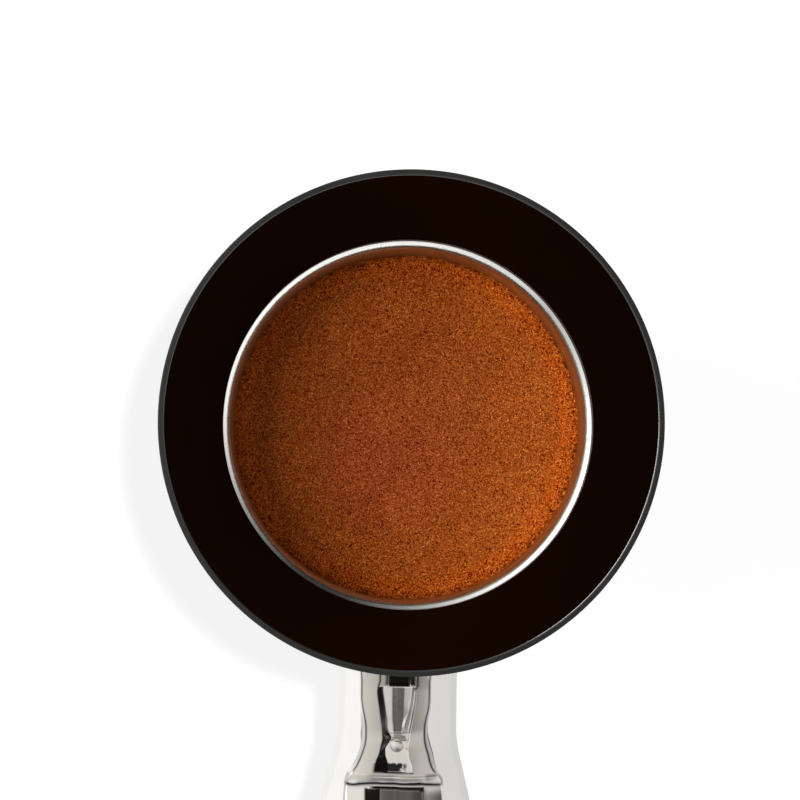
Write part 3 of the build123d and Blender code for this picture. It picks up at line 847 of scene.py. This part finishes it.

# painted shade and painted reflection on the casting, in the same places: dark lines, dark patches and a
# nearly black pocket
paintedShade = {
    # from, to, fade and depth along each strip
    "strips": {
        "leftWall": ((6, 11, 3.0, 0.12), (12, 21.5, 3.0, 0.36), (22.6, 33, 0.8, 0.4)),
        "ribSlope": ((11.2, 14.9, 2.0, 0.35),),
        "rightWall": ((6, 21.95, 3.0, 0.38), (22.6, 24.6, 1.2, 0.5)),
    },
    "edges": 0.06,
    "black": 0.985,                          # the pocket's slope is painted nearly black, a painted reflection of the dark funnel
    "blackRise": 9,
    "blackFade": (0.15, 0.2),                # where it starts to thin, and over what share of the slope
    "blackFoot": ((-4, 0.985), (9.6, 0.985), (11.2, 0.965), (12.6, 0.93), (13.9, 0.80), (14.6, 0.86),
                  (15.6, 0.965), (17.2, 0.95), (18.4, 0.985), (38, 0.985)),
    "wander": (1.3, 31),                     # pitch and seed of the lines' wave
    # painted shade, thin dark lines along an edge: offset, wave, width, depth, from, to, fade
    "edgeLines": (("spineL", 0.0, 0.0, 0.14, 0.975, -5, 22.25, 0.8),
                  ("spineR", -0.03, 0.0, 0.19, 0.985, -5, 22.25, 0.8),
                  ("coreL", 0.0, 0.0, 0.17, 0.66, 7.4, 15.2, 0.4),
                  ("pocketR", 0.08, 0.0, 0.20, 0.35, 7.4, 15.2, 0.4),
                  ("pocketR", 0.30, 0.15, 0.42, 0.99, 25.25, 33.6, 0.5)),
    # painted shade, thin dark lines across: distance, wave, width, its wave, depth, left, right, fade
    "crossLines": ((24.5, 0.13, 0.36, 0.08, 0.99, -8.9, 7.4, 0.8),
                   (22.0, 0.0, 0.12, 0.0, 0.75, "pocketL", "pocketR", 0.2),
                   (15.45, 0.0, 0.12, 0.0, 0.5, -1.6, 1.5, 0.3),
                   (16.75, 0.0, 0.10, 0.0, 0.5, -1.6, 1.5, 0.3)),
    # painted shade, bent dark lines beside the socket: place across, bend, its start and length, width,
    # depth, from, to, fade
    "bentLines": ((-3.5, 0.25, 6.3, 1.0, 0.17, 0.93, 4.0, 7.5, 0.4),
                  (2.85, 0.50, 7.0, 2.0, 0.20, 0.90, 4.0, 8.0, 0.8)),
    # dark patches of painted shade: from, to, fade, left, right, fade, depth
    "patches": ((22.3, 24.6, 0.5, -5.0, -0.4, 1.8, 0.42),
                (22.3, 24.6, 0.5, 4.6, "spineR", 0.8, 0.55),
                (2.0, 6.9, 0.3, -2.6, -1.9, 0.4, 0.78),
                (2.0, 6.9, 0.3, 1.5, 2.4, 0.3, 0.93)),
    "core": (7.4, 15.2, 0.4, "coreL", "coreR", 0.2),
    "coreDepth": 0.40,
    "mottle": ((0.3, 41, 0.06), (0.8, 42, 0.04)),        # layers of noise: pitch, seed, strength
    "panel": (25.25, 33.6, 0.5, "footL", "pocketR", 0.3),
    "panelDepth": 0.50,
    "panelMore": (2.0, 9.0, 2.0, 0.14),      # from, to, fade and depth across
    "ballLine": (0.12, 0.6),
    # the socket's hole is painted nearly black as shade
    "hole": 0.99,
    # the black corner at the pocket's end, a painted reflection of the dark funnel: from, to, fade, inset,
    # right edge, its fade, depth
    "corner": (20.55, 21.8, 0.3, 0.05, 0.75, 0.9, 0.97),
    "ragged": ((0.35, 21, 0.35), (0.9, 22, 0.4)),
    "raggedReach": (0.5, 1.6),               # along and across
}


def eased(s, ends=0.25):
    # 0 to 1 with a straight middle and rounded ends
    slope = 1 / (1 - ends)
    return np.where(s < ends, slope * s * s / (2 * ends),
                    np.where(s > 1 - ends, 1 - slope * (1 - s) ** 2 / (2 * ends), slope * (s - ends / 2)))


def window(t, low, high, soft):
    # 1 between low and high, 0 outside
    rise = np.clip((t - low) / soft + 0.5, 0, 1)
    fall = np.clip((high - t) / soft + 0.5, 0, 1)
    return eased(rise) * eased(fall)


def neckSurface(t, plain):
    # place across, height and painted shade of every point, a row for each distance in t
    def at(name):
        return curveThrough(neck[name], t)

    half = curveThrough([section[:2] for section in neck["sections"]], t)
    high = curveThrough([section[::2] for section in neck["sections"]], t)
    lean = neck["lean"] * (1 - plain)
    flat = 1 - neck["flat"] * (1 - plain)

    def crown(x):
        return high * (1 - flat * (1 - np.sqrt(np.clip(1 - ((x - lean) / half) ** 2, 0, 1))))

    wide, edgeTop, edgeLow = neck["edgeStrip"]
    spineL, spineR, footL, pocketR = at("spineL"), at("spineR"), at("footL"), at("pocketR")
    knots = [
        -half, -half + wide, spineL - at("wallL"), spineL, at("pocketL"), footL, footL + neck["footWidth"],
        at("coreL"), at("coreR"), at("ribR"), pocketR - at("wallIn"), pocketR,
        spineR, spineR + at("wallR"), half - wide, half,
    ]
    inPocket = sum(window(t, *pocket) for pocket in neck["pockets"])
    rise = at("rise")
    floor = at("floor")
    rib = at("rib") * inPocket
    right = at("floorRight") * inPocket
    none = 0 * t

    def drop(k):
        return (floor - crown(knots[k]) - rise) * inPocket + rise

    relief = [none, none, none, rise, rise, drop(5), drop(6), drop(7) + rib, drop(8) + rib,
              drop(9) + right, drop(10) + right, rise, rise, none, none, none]

    def flankHeight(x, foot):
        # a flat facet from the foot of the spine to the edge strip, or a plain round
        inner = np.abs(foot)
        slope = (crown(foot) - edgeTop) / (half - wide - inner)
        flank = np.where(np.abs(x) < half - wide, crown(foot) - slope * (np.abs(x) - inner),
                         edgeTop + (edgeLow - edgeTop) * (np.abs(x) - half + wide) / wide)
        return flank * (1 - plain) + high * np.sqrt(np.clip(1 - (x / half) ** 2, 0, 1)) * plain

    xs, ups, shades = [], [], []
    for k, (strip, count) in enumerate(neck["strips"]):
        for step in range(count + (strip == "rightEdge")):
            s = step / count
            if strip == "leftEdge":
                s = s * s
            if strip == "rightEdge":
                s = 1 - (1 - s) ** 2
            x = knots[k] + (knots[k + 1] - knots[k]) * s
            if strip.endswith(("Edge", "Flank")):
                up = flankHeight(x, knots[2] if k < 2 else knots[13])
            else:
                mix = float(eased(np.array(s), neck["rounding"])) if strip in neck["roundedStrips"] else s
                up = crown(x) + relief[k] + (relief[k + 1] - relief[k]) * mix
            # painted shade: darker strips, darker edge strips and a nearly black pocket slope
            shade = np.ones_like(t)
            for *stretch, depth in paintedShade["strips"].get(strip, ()):
                shade -= depth * window(t, *stretch)
            if strip.endswith("Edge"):
                shade -= paintedShade["edges"] * (1 - plain)
            if strip == "pocketSlope":
                fadeFrom, fadeOver = paintedShade["blackFade"]
                thin = paintedShade["black"] - curveThrough(paintedShade["blackFoot"], t)
                thin = thin * min(1, max(0, (s - fadeFrom) / fadeOver))
                shade -= (paintedShade["black"] - thin) * min(1, s * paintedShade["blackRise"]) * inPocket
            xs.append(x)
            ups.append(up)
            shades.append(shade)
    topColumns = len(xs)
    for angle in np.linspace(0, math.pi, neck["underSteps"] + 1)[1:-1]:
        low = edgeLow * (1 - plain)
        xs.append(half * math.cos(angle))
        ups.append(low - (high + low) * math.sin(angle))
        shades.append(np.ones_like(t))
    x, up, shade = (np.array(columns + columns[:1]).T for columns in (xs, ups, shades))
    top = (np.arange(x.shape[1])[None, :] < topColumns) * 1.0
    return x, up, shade, top


def neckDetails(x, along, top):
    # the rise of socket, ring and ball, with the socket's hole and the distance from the ball
    hole = window(x, *neck["socket"]) * window(along, *neck["socketLength"]) * top
    low, high, left, right, soft, ringRise = neck["ring"]
    ring = ringRise * window(along, low, high, soft) * window(x, left, right, soft)
    place, ballR, across = neck["ball"]
    away = np.sqrt((along - place) ** 2 + (x - across) ** 2)
    ball = neck["ballRise"] * ballR * (1 - np.clip(away / ballR, 0, 1) ** 2)
    depth, less, stretch = neck["socketDepth"]
    depth = depth - less * np.clip((along - neck["socketLength"][1] + stretch) / stretch, 0, 1)
    rise = (ring + ball) * top - hole * depth
    return rise, hole, away


def paintNeckShade(x, along, top, hole, away):
    # painted shade and painted reflection: thin dark lines and dark patches on the casting's mirror finish
    def near(edge):
        # an edge of the casting by its name, or a fixed place across
        return curveThrough(neck[edge], along[:, 0])[:, None] if isinstance(edge, str) else edge

    def patch(low, high, soft, left, right, blur):
        return window(along, low, high, soft) * window(x, near(left), near(right), blur) * top

    def line(distance, width, depth, where):
        return 1 - depth * np.exp(-((distance / width) ** 2)) * where * top

    wander = hashNoise(x, 0 * x, *paintedShade["wander"])
    shade = 1 - paintedShade["hole"] * hole
    for edge, offset, wave, width, depth, *stretch in paintedShade["edgeLines"]:
        distance = x - near(edge) + offset + wave * wander
        shade = shade * line(distance, width, depth, window(along, *stretch))
    for place, wave, width, widthWave, depth, left, right, blur in paintedShade["crossLines"]:
        where = window(x, near(left), near(right), blur)
        shade = shade * line(along - place + wave * wander, width + widthWave * wander, depth, where)
    for place, bend, start, length, width, depth, *stretch in paintedShade["bentLines"]:
        distance = x - place + bend * np.clip(along - start, 0, length)
        shade = shade * line(distance, width, depth, window(along, *stretch))
    for *area, depth in paintedShade["patches"]:
        shade = shade * (1 - depth * patch(*area))
    depth = paintedShade["coreDepth"] + layeredNoise(x, along, paintedShade["mottle"])
    shade = shade * (1 - depth * patch(*paintedShade["core"]))
    *stretch, more = paintedShade["panelMore"]
    depth = paintedShade["panelDepth"] + more * window(x, *stretch)
    shade = shade * (1 - depth * patch(*paintedShade["panel"]))
    place, ballR, _ = neck["ball"]
    shade = shade * line(away - ballR, *paintedShade["ballLine"], window(along, place, 99, 0.8))
    low, high, soft, inset, right, blur, depth = paintedShade["corner"]
    ragged = layeredNoise(x, along, paintedShade["ragged"])
    reachAlong, reachAcross = paintedShade["raggedReach"]
    corner = window(along, low - ragged * reachAlong, high, soft)
    corner = corner * window(x, near("pocketL") + inset, right + ragged * reachAcross, blur) * top
    return shade * (1 - depth * corner)


def makeNeck():
    stretches = [np.linspace(low, high, count, endpoint=False) for low, high, count in neck["rows"]]
    t = np.concatenate(stretches + [[neckEnd]])
    plain = sum(window(t, *end) for end in neck["plainEnds"])
    x, up, shade, top = neckSurface(t, plain)
    along = np.repeat(t[:, None], x.shape[1], 1)
    rise, hole, away = neckDetails(x, along, top)
    shade = np.clip(shade * paintNeckShade(x, along, top, hole, away), 0.01, 1)

    rows, columns = x.shape
    clearSelection()
    bpy.ops.mesh.primitive_grid_add(x_subdivisions=columns - 1, y_subdivisions=rows - 1, size=1,
                                    location=(0, 0, 0))
    piece = bpy.context.object
    piece.name = "neckCasting"
    mesh = piece.data
    lead = curveThrough(neck["stepLead"], x) * window(along, *neck["stepReach"]) * top
    co = np.stack((x + neck["shift"] * (1 - plain[:, None]), up + rise, along - lead), axis=2) * mm
    mesh.vertices.foreach_set("co", co.astype(np.float32).ravel())
    # the painted shade and painted reflection go to the chrome's colour through this attribute
    attribute = mesh.attributes.new("paintedShade", "FLOAT", "POINT")
    attribute.data.foreach_set("value", shade.astype(np.float32).ravel())
    mesh.update()
    pick(piece)
    bpy.ops.object.mode_set(mode="EDIT")
    bpy.ops.mesh.select_all(action="SELECT")
    bpy.ops.mesh.remove_doubles(threshold=weld)
    bpy.ops.mesh.select_all(action="DESELECT")
    bpy.ops.mesh.select_non_manifold()
    bpy.ops.mesh.edge_face_add()
    bpy.ops.mesh.select_all(action="SELECT")
    bpy.ops.mesh.fill_holes(sides=0)
    bpy.ops.mesh.normals_make_consistent(inside=False)
    bpy.ops.object.mode_set(mode="OBJECT")
    toHandle(piece)
    smooth(piece, 180)
    dress(piece, castChrome, "portafilter", "chrome", "portafilter_neck")


handle = {
    "ferruleR": 14.0,
    "ferruleBoreR": 6.05,
    "bead": 1.4,                             # at each end of the ferrule
    "waist": 0.35,
    "gripSide": ((0, 13.65), (16, 12.25), (42, 12.95), (78, 15.75), (104, 15.15), (110, 14.55), (112, 13.4)),
    "capR": 12.15,
    "capProud": 0.6,
    "capHeight": 2.4,
    "screwHeadR": 3.8,
    "screwHead": 1.5,
    "screwR": 2.0,
    "screwLength": 18.0,
    "socketR": 1.4,
    "socketDepth": 1.1,
    "headGap": 0.1,
    "capFloor": 0.9,
    "capHoleR": 2.05,
}


def makeHandle():
    ferrule = turnPiece("handleFerrule", (
        (handle["ferruleBoreR"], neckEnd, 0),
        (handle["ferruleR"], neckEnd, 0.5),
        (handle["ferruleR"] - handle["waist"], neckEnd + handle["bead"], 0.25),
        (handle["ferruleR"] - handle["waist"], gripStart - handle["bead"], 0.25),
        (handle["ferruleR"], gripStart, 0.5),
        (handle["ferruleBoreR"], gripStart, 0),
    ), steps=160)
    toHandle(ferrule)
    smooth(ferrule, 30)
    dress(ferrule, chrome, "portafilter", "chrome", "handle_ferrule")

    places = np.linspace(0, gripEnd - gripStart, 90)
    radii = curveThrough(handle["gripSide"], places)
    side = [(float(r), gripStart + float(p), 0) for p, r in zip(places, radii)]
    capSeat = gripEnd - handle["capHeight"] + handle["capProud"]
    recessR = handle["capR"] + 0.1
    recess = [(recessR, gripEnd, 0), (recessR, capSeat, 0), (0, capSeat, 0)]
    grip = turnPiece("handleGrip", [(0, gripStart, 0)] + side + recess, steps=128)
    toHandle(grip)
    smooth(grip, 35)
    dress(grip, gripBlack, "portafilter", "grip_black", "handle_grip")

    high = gripEnd + handle["capProud"]
    cap = turnPiece("handleEndCap", (
        (handle["screwHeadR"] + handle["headGap"], capSeat + handle["capFloor"], 0),
        (handle["screwHeadR"] + handle["headGap"], high, 0.2),
        (handle["capR"], high, 0.7),
        (handle["capR"], capSeat, 0),
        (handle["capHoleR"], capSeat, 0),
        (handle["capHoleR"], capSeat + handle["capFloor"], 0),
    ), steps=128)
    toHandle(cap)
    smooth(cap, 30)
    dress(cap, chrome, "portafilter", "chrome", "handle_end_cap")

    screw = turnPiece("handleCapScrew", (
        (0, gripEnd - handle["screwLength"], 0),
        (handle["screwR"], gripEnd - handle["screwLength"], 0.3),
        (handle["screwR"], high - handle["screwHead"], 0),
        (handle["screwHeadR"], high - handle["screwHead"], 0.1),
        (handle["screwHeadR"], high, 0.4),
        (0, high, 0),
    ), steps=64)
    clearSelection()
    bpy.ops.mesh.primitive_cylinder_add(vertices=6, radius=handle["socketR"] * mm,
                                        depth=2 * handle["socketDepth"] * mm, location=(0, 0, high * mm))
    combine(screw, bpy.context.object, "DIFFERENCE")
    toHandle(screw)
    smooth(screw, 30)
    dress(screw, zincSteel, "portafilter", "fastener_steel", "handle_cap_screw")


spout = {
    "hubR": 12.0,
    "hubHeight": 12.0,
    "hubRound": 4.0,
    "tubeR": 5.6,
    "boreR": 3.8,
    "spread": 19.0,
    "fall": 2.5,
    "bendR": 7.0,
    "bendSteps": 14,
    "boreDepth": 5.0,
    "voxel": 0.42,
    "nutBoreR": 8.4,
    "nutCornerR": 13.86,
    "nutTrim": ((0, 1), (12.3, 0.6), (13.26, -0.4)),     # radius, and how far past the nut's face
}


def makeArm(side):
    clearSelection()
    slope = math.atan2(spout["fall"], spout["spread"])
    startZ = spoutTop - spout["hubHeight"] + spout["tubeR"]
    bpy.ops.mesh.primitive_circle_add(vertices=48, radius=spout["tubeR"] * mm, fill_type="NGON",
                                      location=(0, 0, startZ * mm), rotation=(0, math.pi / 2 + slope, 0))
    arm = bpy.context.object
    turn = math.pi / 2 - slope
    reach = spout["bendR"] * math.tan(turn / 2)
    run = math.hypot(spout["spread"], spout["fall"]) - reach
    along = Vector((math.cos(slope), 0, -math.sin(slope)))
    elbow = Vector((spout["spread"], 0, startZ - spout["fall"]))
    bendStart = elbow - along * reach
    centre = bendStart + Vector((-math.sin(slope), 0, -math.cos(slope))) * spout["bendR"]
    legTop = elbow.z - reach
    bpy.ops.object.mode_set(mode="EDIT")
    bpy.ops.mesh.select_all(action="SELECT")
    bpy.ops.mesh.extrude_region_move(TRANSFORM_OT_translate={"value": along * run * mm})
    bpy.ops.mesh.spin(steps=spout["bendSteps"], angle=turn, center=centre * mm, axis=(0, -1, 0))
    bpy.ops.mesh.extrude_region_move(TRANSFORM_OT_translate={"value": (0, 0, (floorZ - legTop) * mm)})
    bpy.ops.mesh.inset(thickness=(spout["tubeR"] - spout["boreR"]) * mm)
    bpy.ops.mesh.extrude_region_move(TRANSFORM_OT_translate={"value": (0, 0, spout["boreDepth"] * mm)})
    bpy.ops.mesh.select_all(action="SELECT")
    bpy.ops.mesh.normals_make_consistent(inside=False)
    bpy.ops.object.mode_set(mode="OBJECT")
    applyPlace(arm)
    if side < 0:
        arm.rotation_euler.z = math.pi
        applyPlace(arm)
    return arm


def makeSpout():
    hubLow = spoutTop - spout["hubHeight"]
    hub = turnPiece("doubleSpout", (
        (0, spoutTop, 0),
        (spout["hubR"], spoutTop, 0.5),
        (spout["hubR"], hubLow, spout["hubRound"]),
        (0, hubLow, 0),
    ), steps=96)
    for side in (1, -1):
        combine(hub, makeArm(side), "UNION")
    remesh = hub.modifiers.new("cast", "REMESH")
    remesh.mode = "VOXEL"
    remesh.voxel_size = spout["voxel"] * mm
    soften = hub.modifiers.new("soften", "SMOOTH")
    soften.factor = 0.5
    soften.iterations = 5
    applyModifiers(hub)
    smooth(hub, 60)
    dress(hub, chrome, "portafilter", "chrome", "double_spout")

    nut = turnPiece("spoutLockNut", (
        (spout["nutBoreR"], nutLow, 0.2),
        (spout["nutCornerR"], nutLow, 0),
        (spout["nutCornerR"], nutTop, 0),
        (spout["nutBoreR"], nutTop, 0.2),
    ), steps=6)
    nut.rotation_euler.z = math.radians(30)
    applyPlace(nut)
    trimLow = [(radius, nutLow - past, 0) for radius, past in spout["nutTrim"]]
    trimTop = [(radius, nutTop + past, 0) for radius, past in reversed(spout["nutTrim"])]
    trim = turnPiece("trim", trimLow + trimTop, steps=96)
    combine(nut, trim, "INTERSECT")
    smooth(nut, 20)
    dress(nut, chrome, "portafilter", "chrome", "spout_lock_nut")


studio = {
    "cameraPlace": (-21.08, -14.30, 517.47),
    "cameraTurn": (1.995, -2.227, 1.2),
    "lens": 140.4,
    "sensor": 36,
    "floorSize": 6000,
    "paper": 0.10,                           # how pale the floor is under the lamps
    "floorGlow": ((0.12, 0.775), (0.50, 1.0)),           # by the distance from the middle, in metres
    "floorMirrored": ((0.35, 0.69), (0.65, 0.45)),       # what metal sees of it, from left to right
    "plainLight": 0.42,
    # the sky that metal sees: a dark spot overhead, paler round it
    "domeSpot": (0.18, -0.55, 1.6),          # right, forward, and how much narrower it is forward
    "domeReach": 1.6,
    "dome": ((0.0, 0.17), (0.10, 0.20), (0.25, 0.38), (0.30, 0.48), (0.50, 0.64), (0.62, 0.72), (0.82, 0.80)),
    "domeTint": (1.05, 1.02, 0.96),
    "domeDark": ((0.12, 1.0), (0.45, 0.72), (0.72, 0.05)),       # darker towards this side
    "domeDarkSide": (0.55, 0.83, 0.09),
    # brightness of the walls round the studio, by turn from -X through -Y, +X and +Y
    "walls": ((0.0, 1.40), (0.05, 1.0), (0.10, 0.50), (0.15, 0.95), (0.25, 1.3), (0.42, 1.4), (0.50, 1.2),
              (0.585, 0.33), (0.64, 0.04), (0.70, 0.04), (0.75, 0.37), (0.82, 1.35), (1.0, 1.40)),
    # how much the walls show at each height, and the dark line at the horizon
    "wallHeight": ((0.12, 0.0), (0.18, 1.0), (0.50, 1.0), (0.62, 0.0)),
    "horizon": ((0.03, 0.12), (0.14, 0.35), (0.20, 1.0)),
    "panelSide": (-0.90, 0.39, 0.19),        # a bright panel on the left
    "panel": ((0.84, 0.0), (0.97, 1.8)),
    # place, aim, power, shape, width and depth of each lamp
    "keyLamp": ((-630, 45, 560), (0, 0, 0), 9.8, "SQUARE", 540, 540),
    "rimLamp": ((-610, 350, 150), (0, 0, 20), 7.6, "RECTANGLE", 900, 300),
    "floorLamp": ((72, 40, 900), (0, 0, 0), 15.5, "DISK", 50, 50),
}


def makeCamera():
    camera = bpy.data.objects.new("camera", bpy.data.cameras.new("camera"))
    bpy.context.scene.collection.objects.link(camera)
    camera.location = Vector(studio["cameraPlace"]) * mm
    camera.rotation_euler = [math.radians(a) for a in studio["cameraTurn"]]
    camera.data.lens = studio["lens"]
    camera.data.sensor_width = studio["sensor"]
    camera.data.clip_start = 0.01
    bpy.context.scene.camera = camera


def makeFloorPaper():
    # glows white for the camera, keeps the shadow, and shows metal a duller floor
    material, tree, shader = newMaterial("paleFloor")
    tree.nodes.remove(shader)
    rays = addNode(tree, "ShaderNodeLightPath")
    radius, _, across, _ = radiusAndHeight(tree)
    seen = calc(tree, "MULTIPLY", rays.outputs["Is Camera Ray"], fade(tree, radius, *studio["floorGlow"]))
    mirrored = fade(tree, calc(tree, "MULTIPLY_ADD", across, 3.0, 0.5), *studio["floorMirrored"])
    mirrored = calc(tree, "MULTIPLY", mirrored, rays.outputs["Is Glossy Ray"])
    strength = calc(tree, "MAXIMUM", seen, mirrored)
    glow = addNode(tree, "ShaderNodeEmission", {"Color": (1, 1, 1, 1), "Strength": strength})
    paleness = calc(tree, "MULTIPLY_ADD", rays.outputs["Is Glossy Ray"], 0.02, studio["paper"])
    paper = addNode(tree, "ShaderNodeBsdfDiffuse", {"Color": paleness})
    both = addNode(tree, "ShaderNodeAddShader", {0: glow.outputs[0], 1: paper.outputs[0]})
    link(tree, both.outputs[0], tree.nodes["Material Output"], "Surface")
    return material


def makeFloor():
    clearSelection()
    bpy.ops.mesh.primitive_plane_add(size=studio["floorSize"] * mm, location=(0, 0, floorZ * mm))
    floor = bpy.context.object
    floor.name = "studioFloor"
    applyPlace(floor)
    floor.data.materials.append(makeFloorPaper())
    return floor


def makeSky():
    world = bpy.data.worlds.new("studioWorld")
    bpy.context.scene.world = world
    world.use_nodes = True
    tree = world.node_tree
    coords = addNode(tree, "ShaderNodeTexCoord")
    view = addNode(tree, "ShaderNodeSeparateXYZ", {"Vector": coords.outputs["Generated"]}).outputs
    x, y, z = view

    def towards(direction):
        # how far the view leans towards a direction
        parts = [calc(tree, "MULTIPLY", part, amount) for part, amount in zip(view, direction)]
        return calc(tree, "ADD", calc(tree, "ADD", parts[0], parts[1]), parts[2])

    spotX, spotY, narrower = studio["domeSpot"]
    spotX = calc(tree, "SUBTRACT", x, spotX)
    spotY = calc(tree, "MULTIPLY", calc(tree, "SUBTRACT", y, spotY), narrower)
    spot = calc(tree, "DIVIDE", lengthOf(tree, spotX, spotY), studio["domeReach"])
    dome = fade(tree, spot, *studio["dome"])
    dome = times(tree, dome, studio["domeTint"])
    dome = times(tree, dome, fade(tree, towards(studio["domeDarkSide"]), *studio["domeDark"]))
    # bright walls low down, darker on some sides, with a thin dark line at the horizon
    turn = calc(tree, "MULTIPLY_ADD", calc(tree, "ARCTAN2", y, x), 0.5 / math.pi, 0.5)
    around = mixColours(tree, fade(tree, z, *studio["wallHeight"]), dome, fade(tree, turn, *studio["walls"]))
    around = times(tree, around, fade(tree, z, *studio["horizon"]))
    panel = fade(tree, towards(studio["panelSide"]), *studio["panel"])
    around = mixColours(tree, 1.0, around, panel, "ADD")
    rays = addNode(tree, "ShaderNodeLightPath")
    shiny = calc(tree, "MAXIMUM", rays.outputs["Is Glossy Ray"], rays.outputs["Is Transmission Ray"])
    plain = mixColours(tree, rays.outputs["Is Camera Ray"], grey(studio["plainLight"]), grey(1.0))
    link(tree, mixColours(tree, shiny, plain, around), tree.nodes["Background"], "Color")


def makeLamp(name):
    place, aim, power, shape, width, depth = studio[name]
    data = bpy.data.lights.new(name, "AREA")
    data.energy = power
    data.shape = shape
    data.size = width * mm
    data.size_y = depth * mm
    lamp = bpy.data.objects.new(name, data)
    bpy.context.scene.collection.objects.link(lamp)
    lamp.location = Vector(place) * mm
    lamp.rotation_euler = (Vector(aim) - Vector(place)).to_track_quat("-Z", "Y").to_euler()
    return lamp


def lightOnly(lamp, name, piece):
    only = bpy.data.collections.new(name)
    only.objects.link(piece)
    lamp.light_linking.receiver_collection = only


def makeStudio():
    makeCamera()
    floor = makeFloor()
    makeSky()
    makeLamp("keyLamp").visible_glossy = False
    edge = makeLamp("rimLamp")
    edge.visible_diffuse = False
    lightOnly(edge, "rimOnly", bpy.data.objects["funnelShell"])
    lightOnly(makeLamp("floorLamp"), "floorOnly", floor)
    bpy.context.scene.view_settings.view_transform = "Standard"


makeFunnel()
makeBasket()
makePuck()
makeBowl()
makeNeck()
makeHandle()
makeSpout()
print("pieces ready")
makeStudio()
print("studio ready")

for name, material in (
    ("basket_spring", springSteel),
    ("funnel_magnets", nickel),
    ("spout_nipple", brass),
    ("spout_gasket", fibre),
    ("handle_stud", zincSteel),
    ("handle_washer", zincSteel),
    ("handle_insert", brass),
    ("handle_cap_washer", fibre),
):
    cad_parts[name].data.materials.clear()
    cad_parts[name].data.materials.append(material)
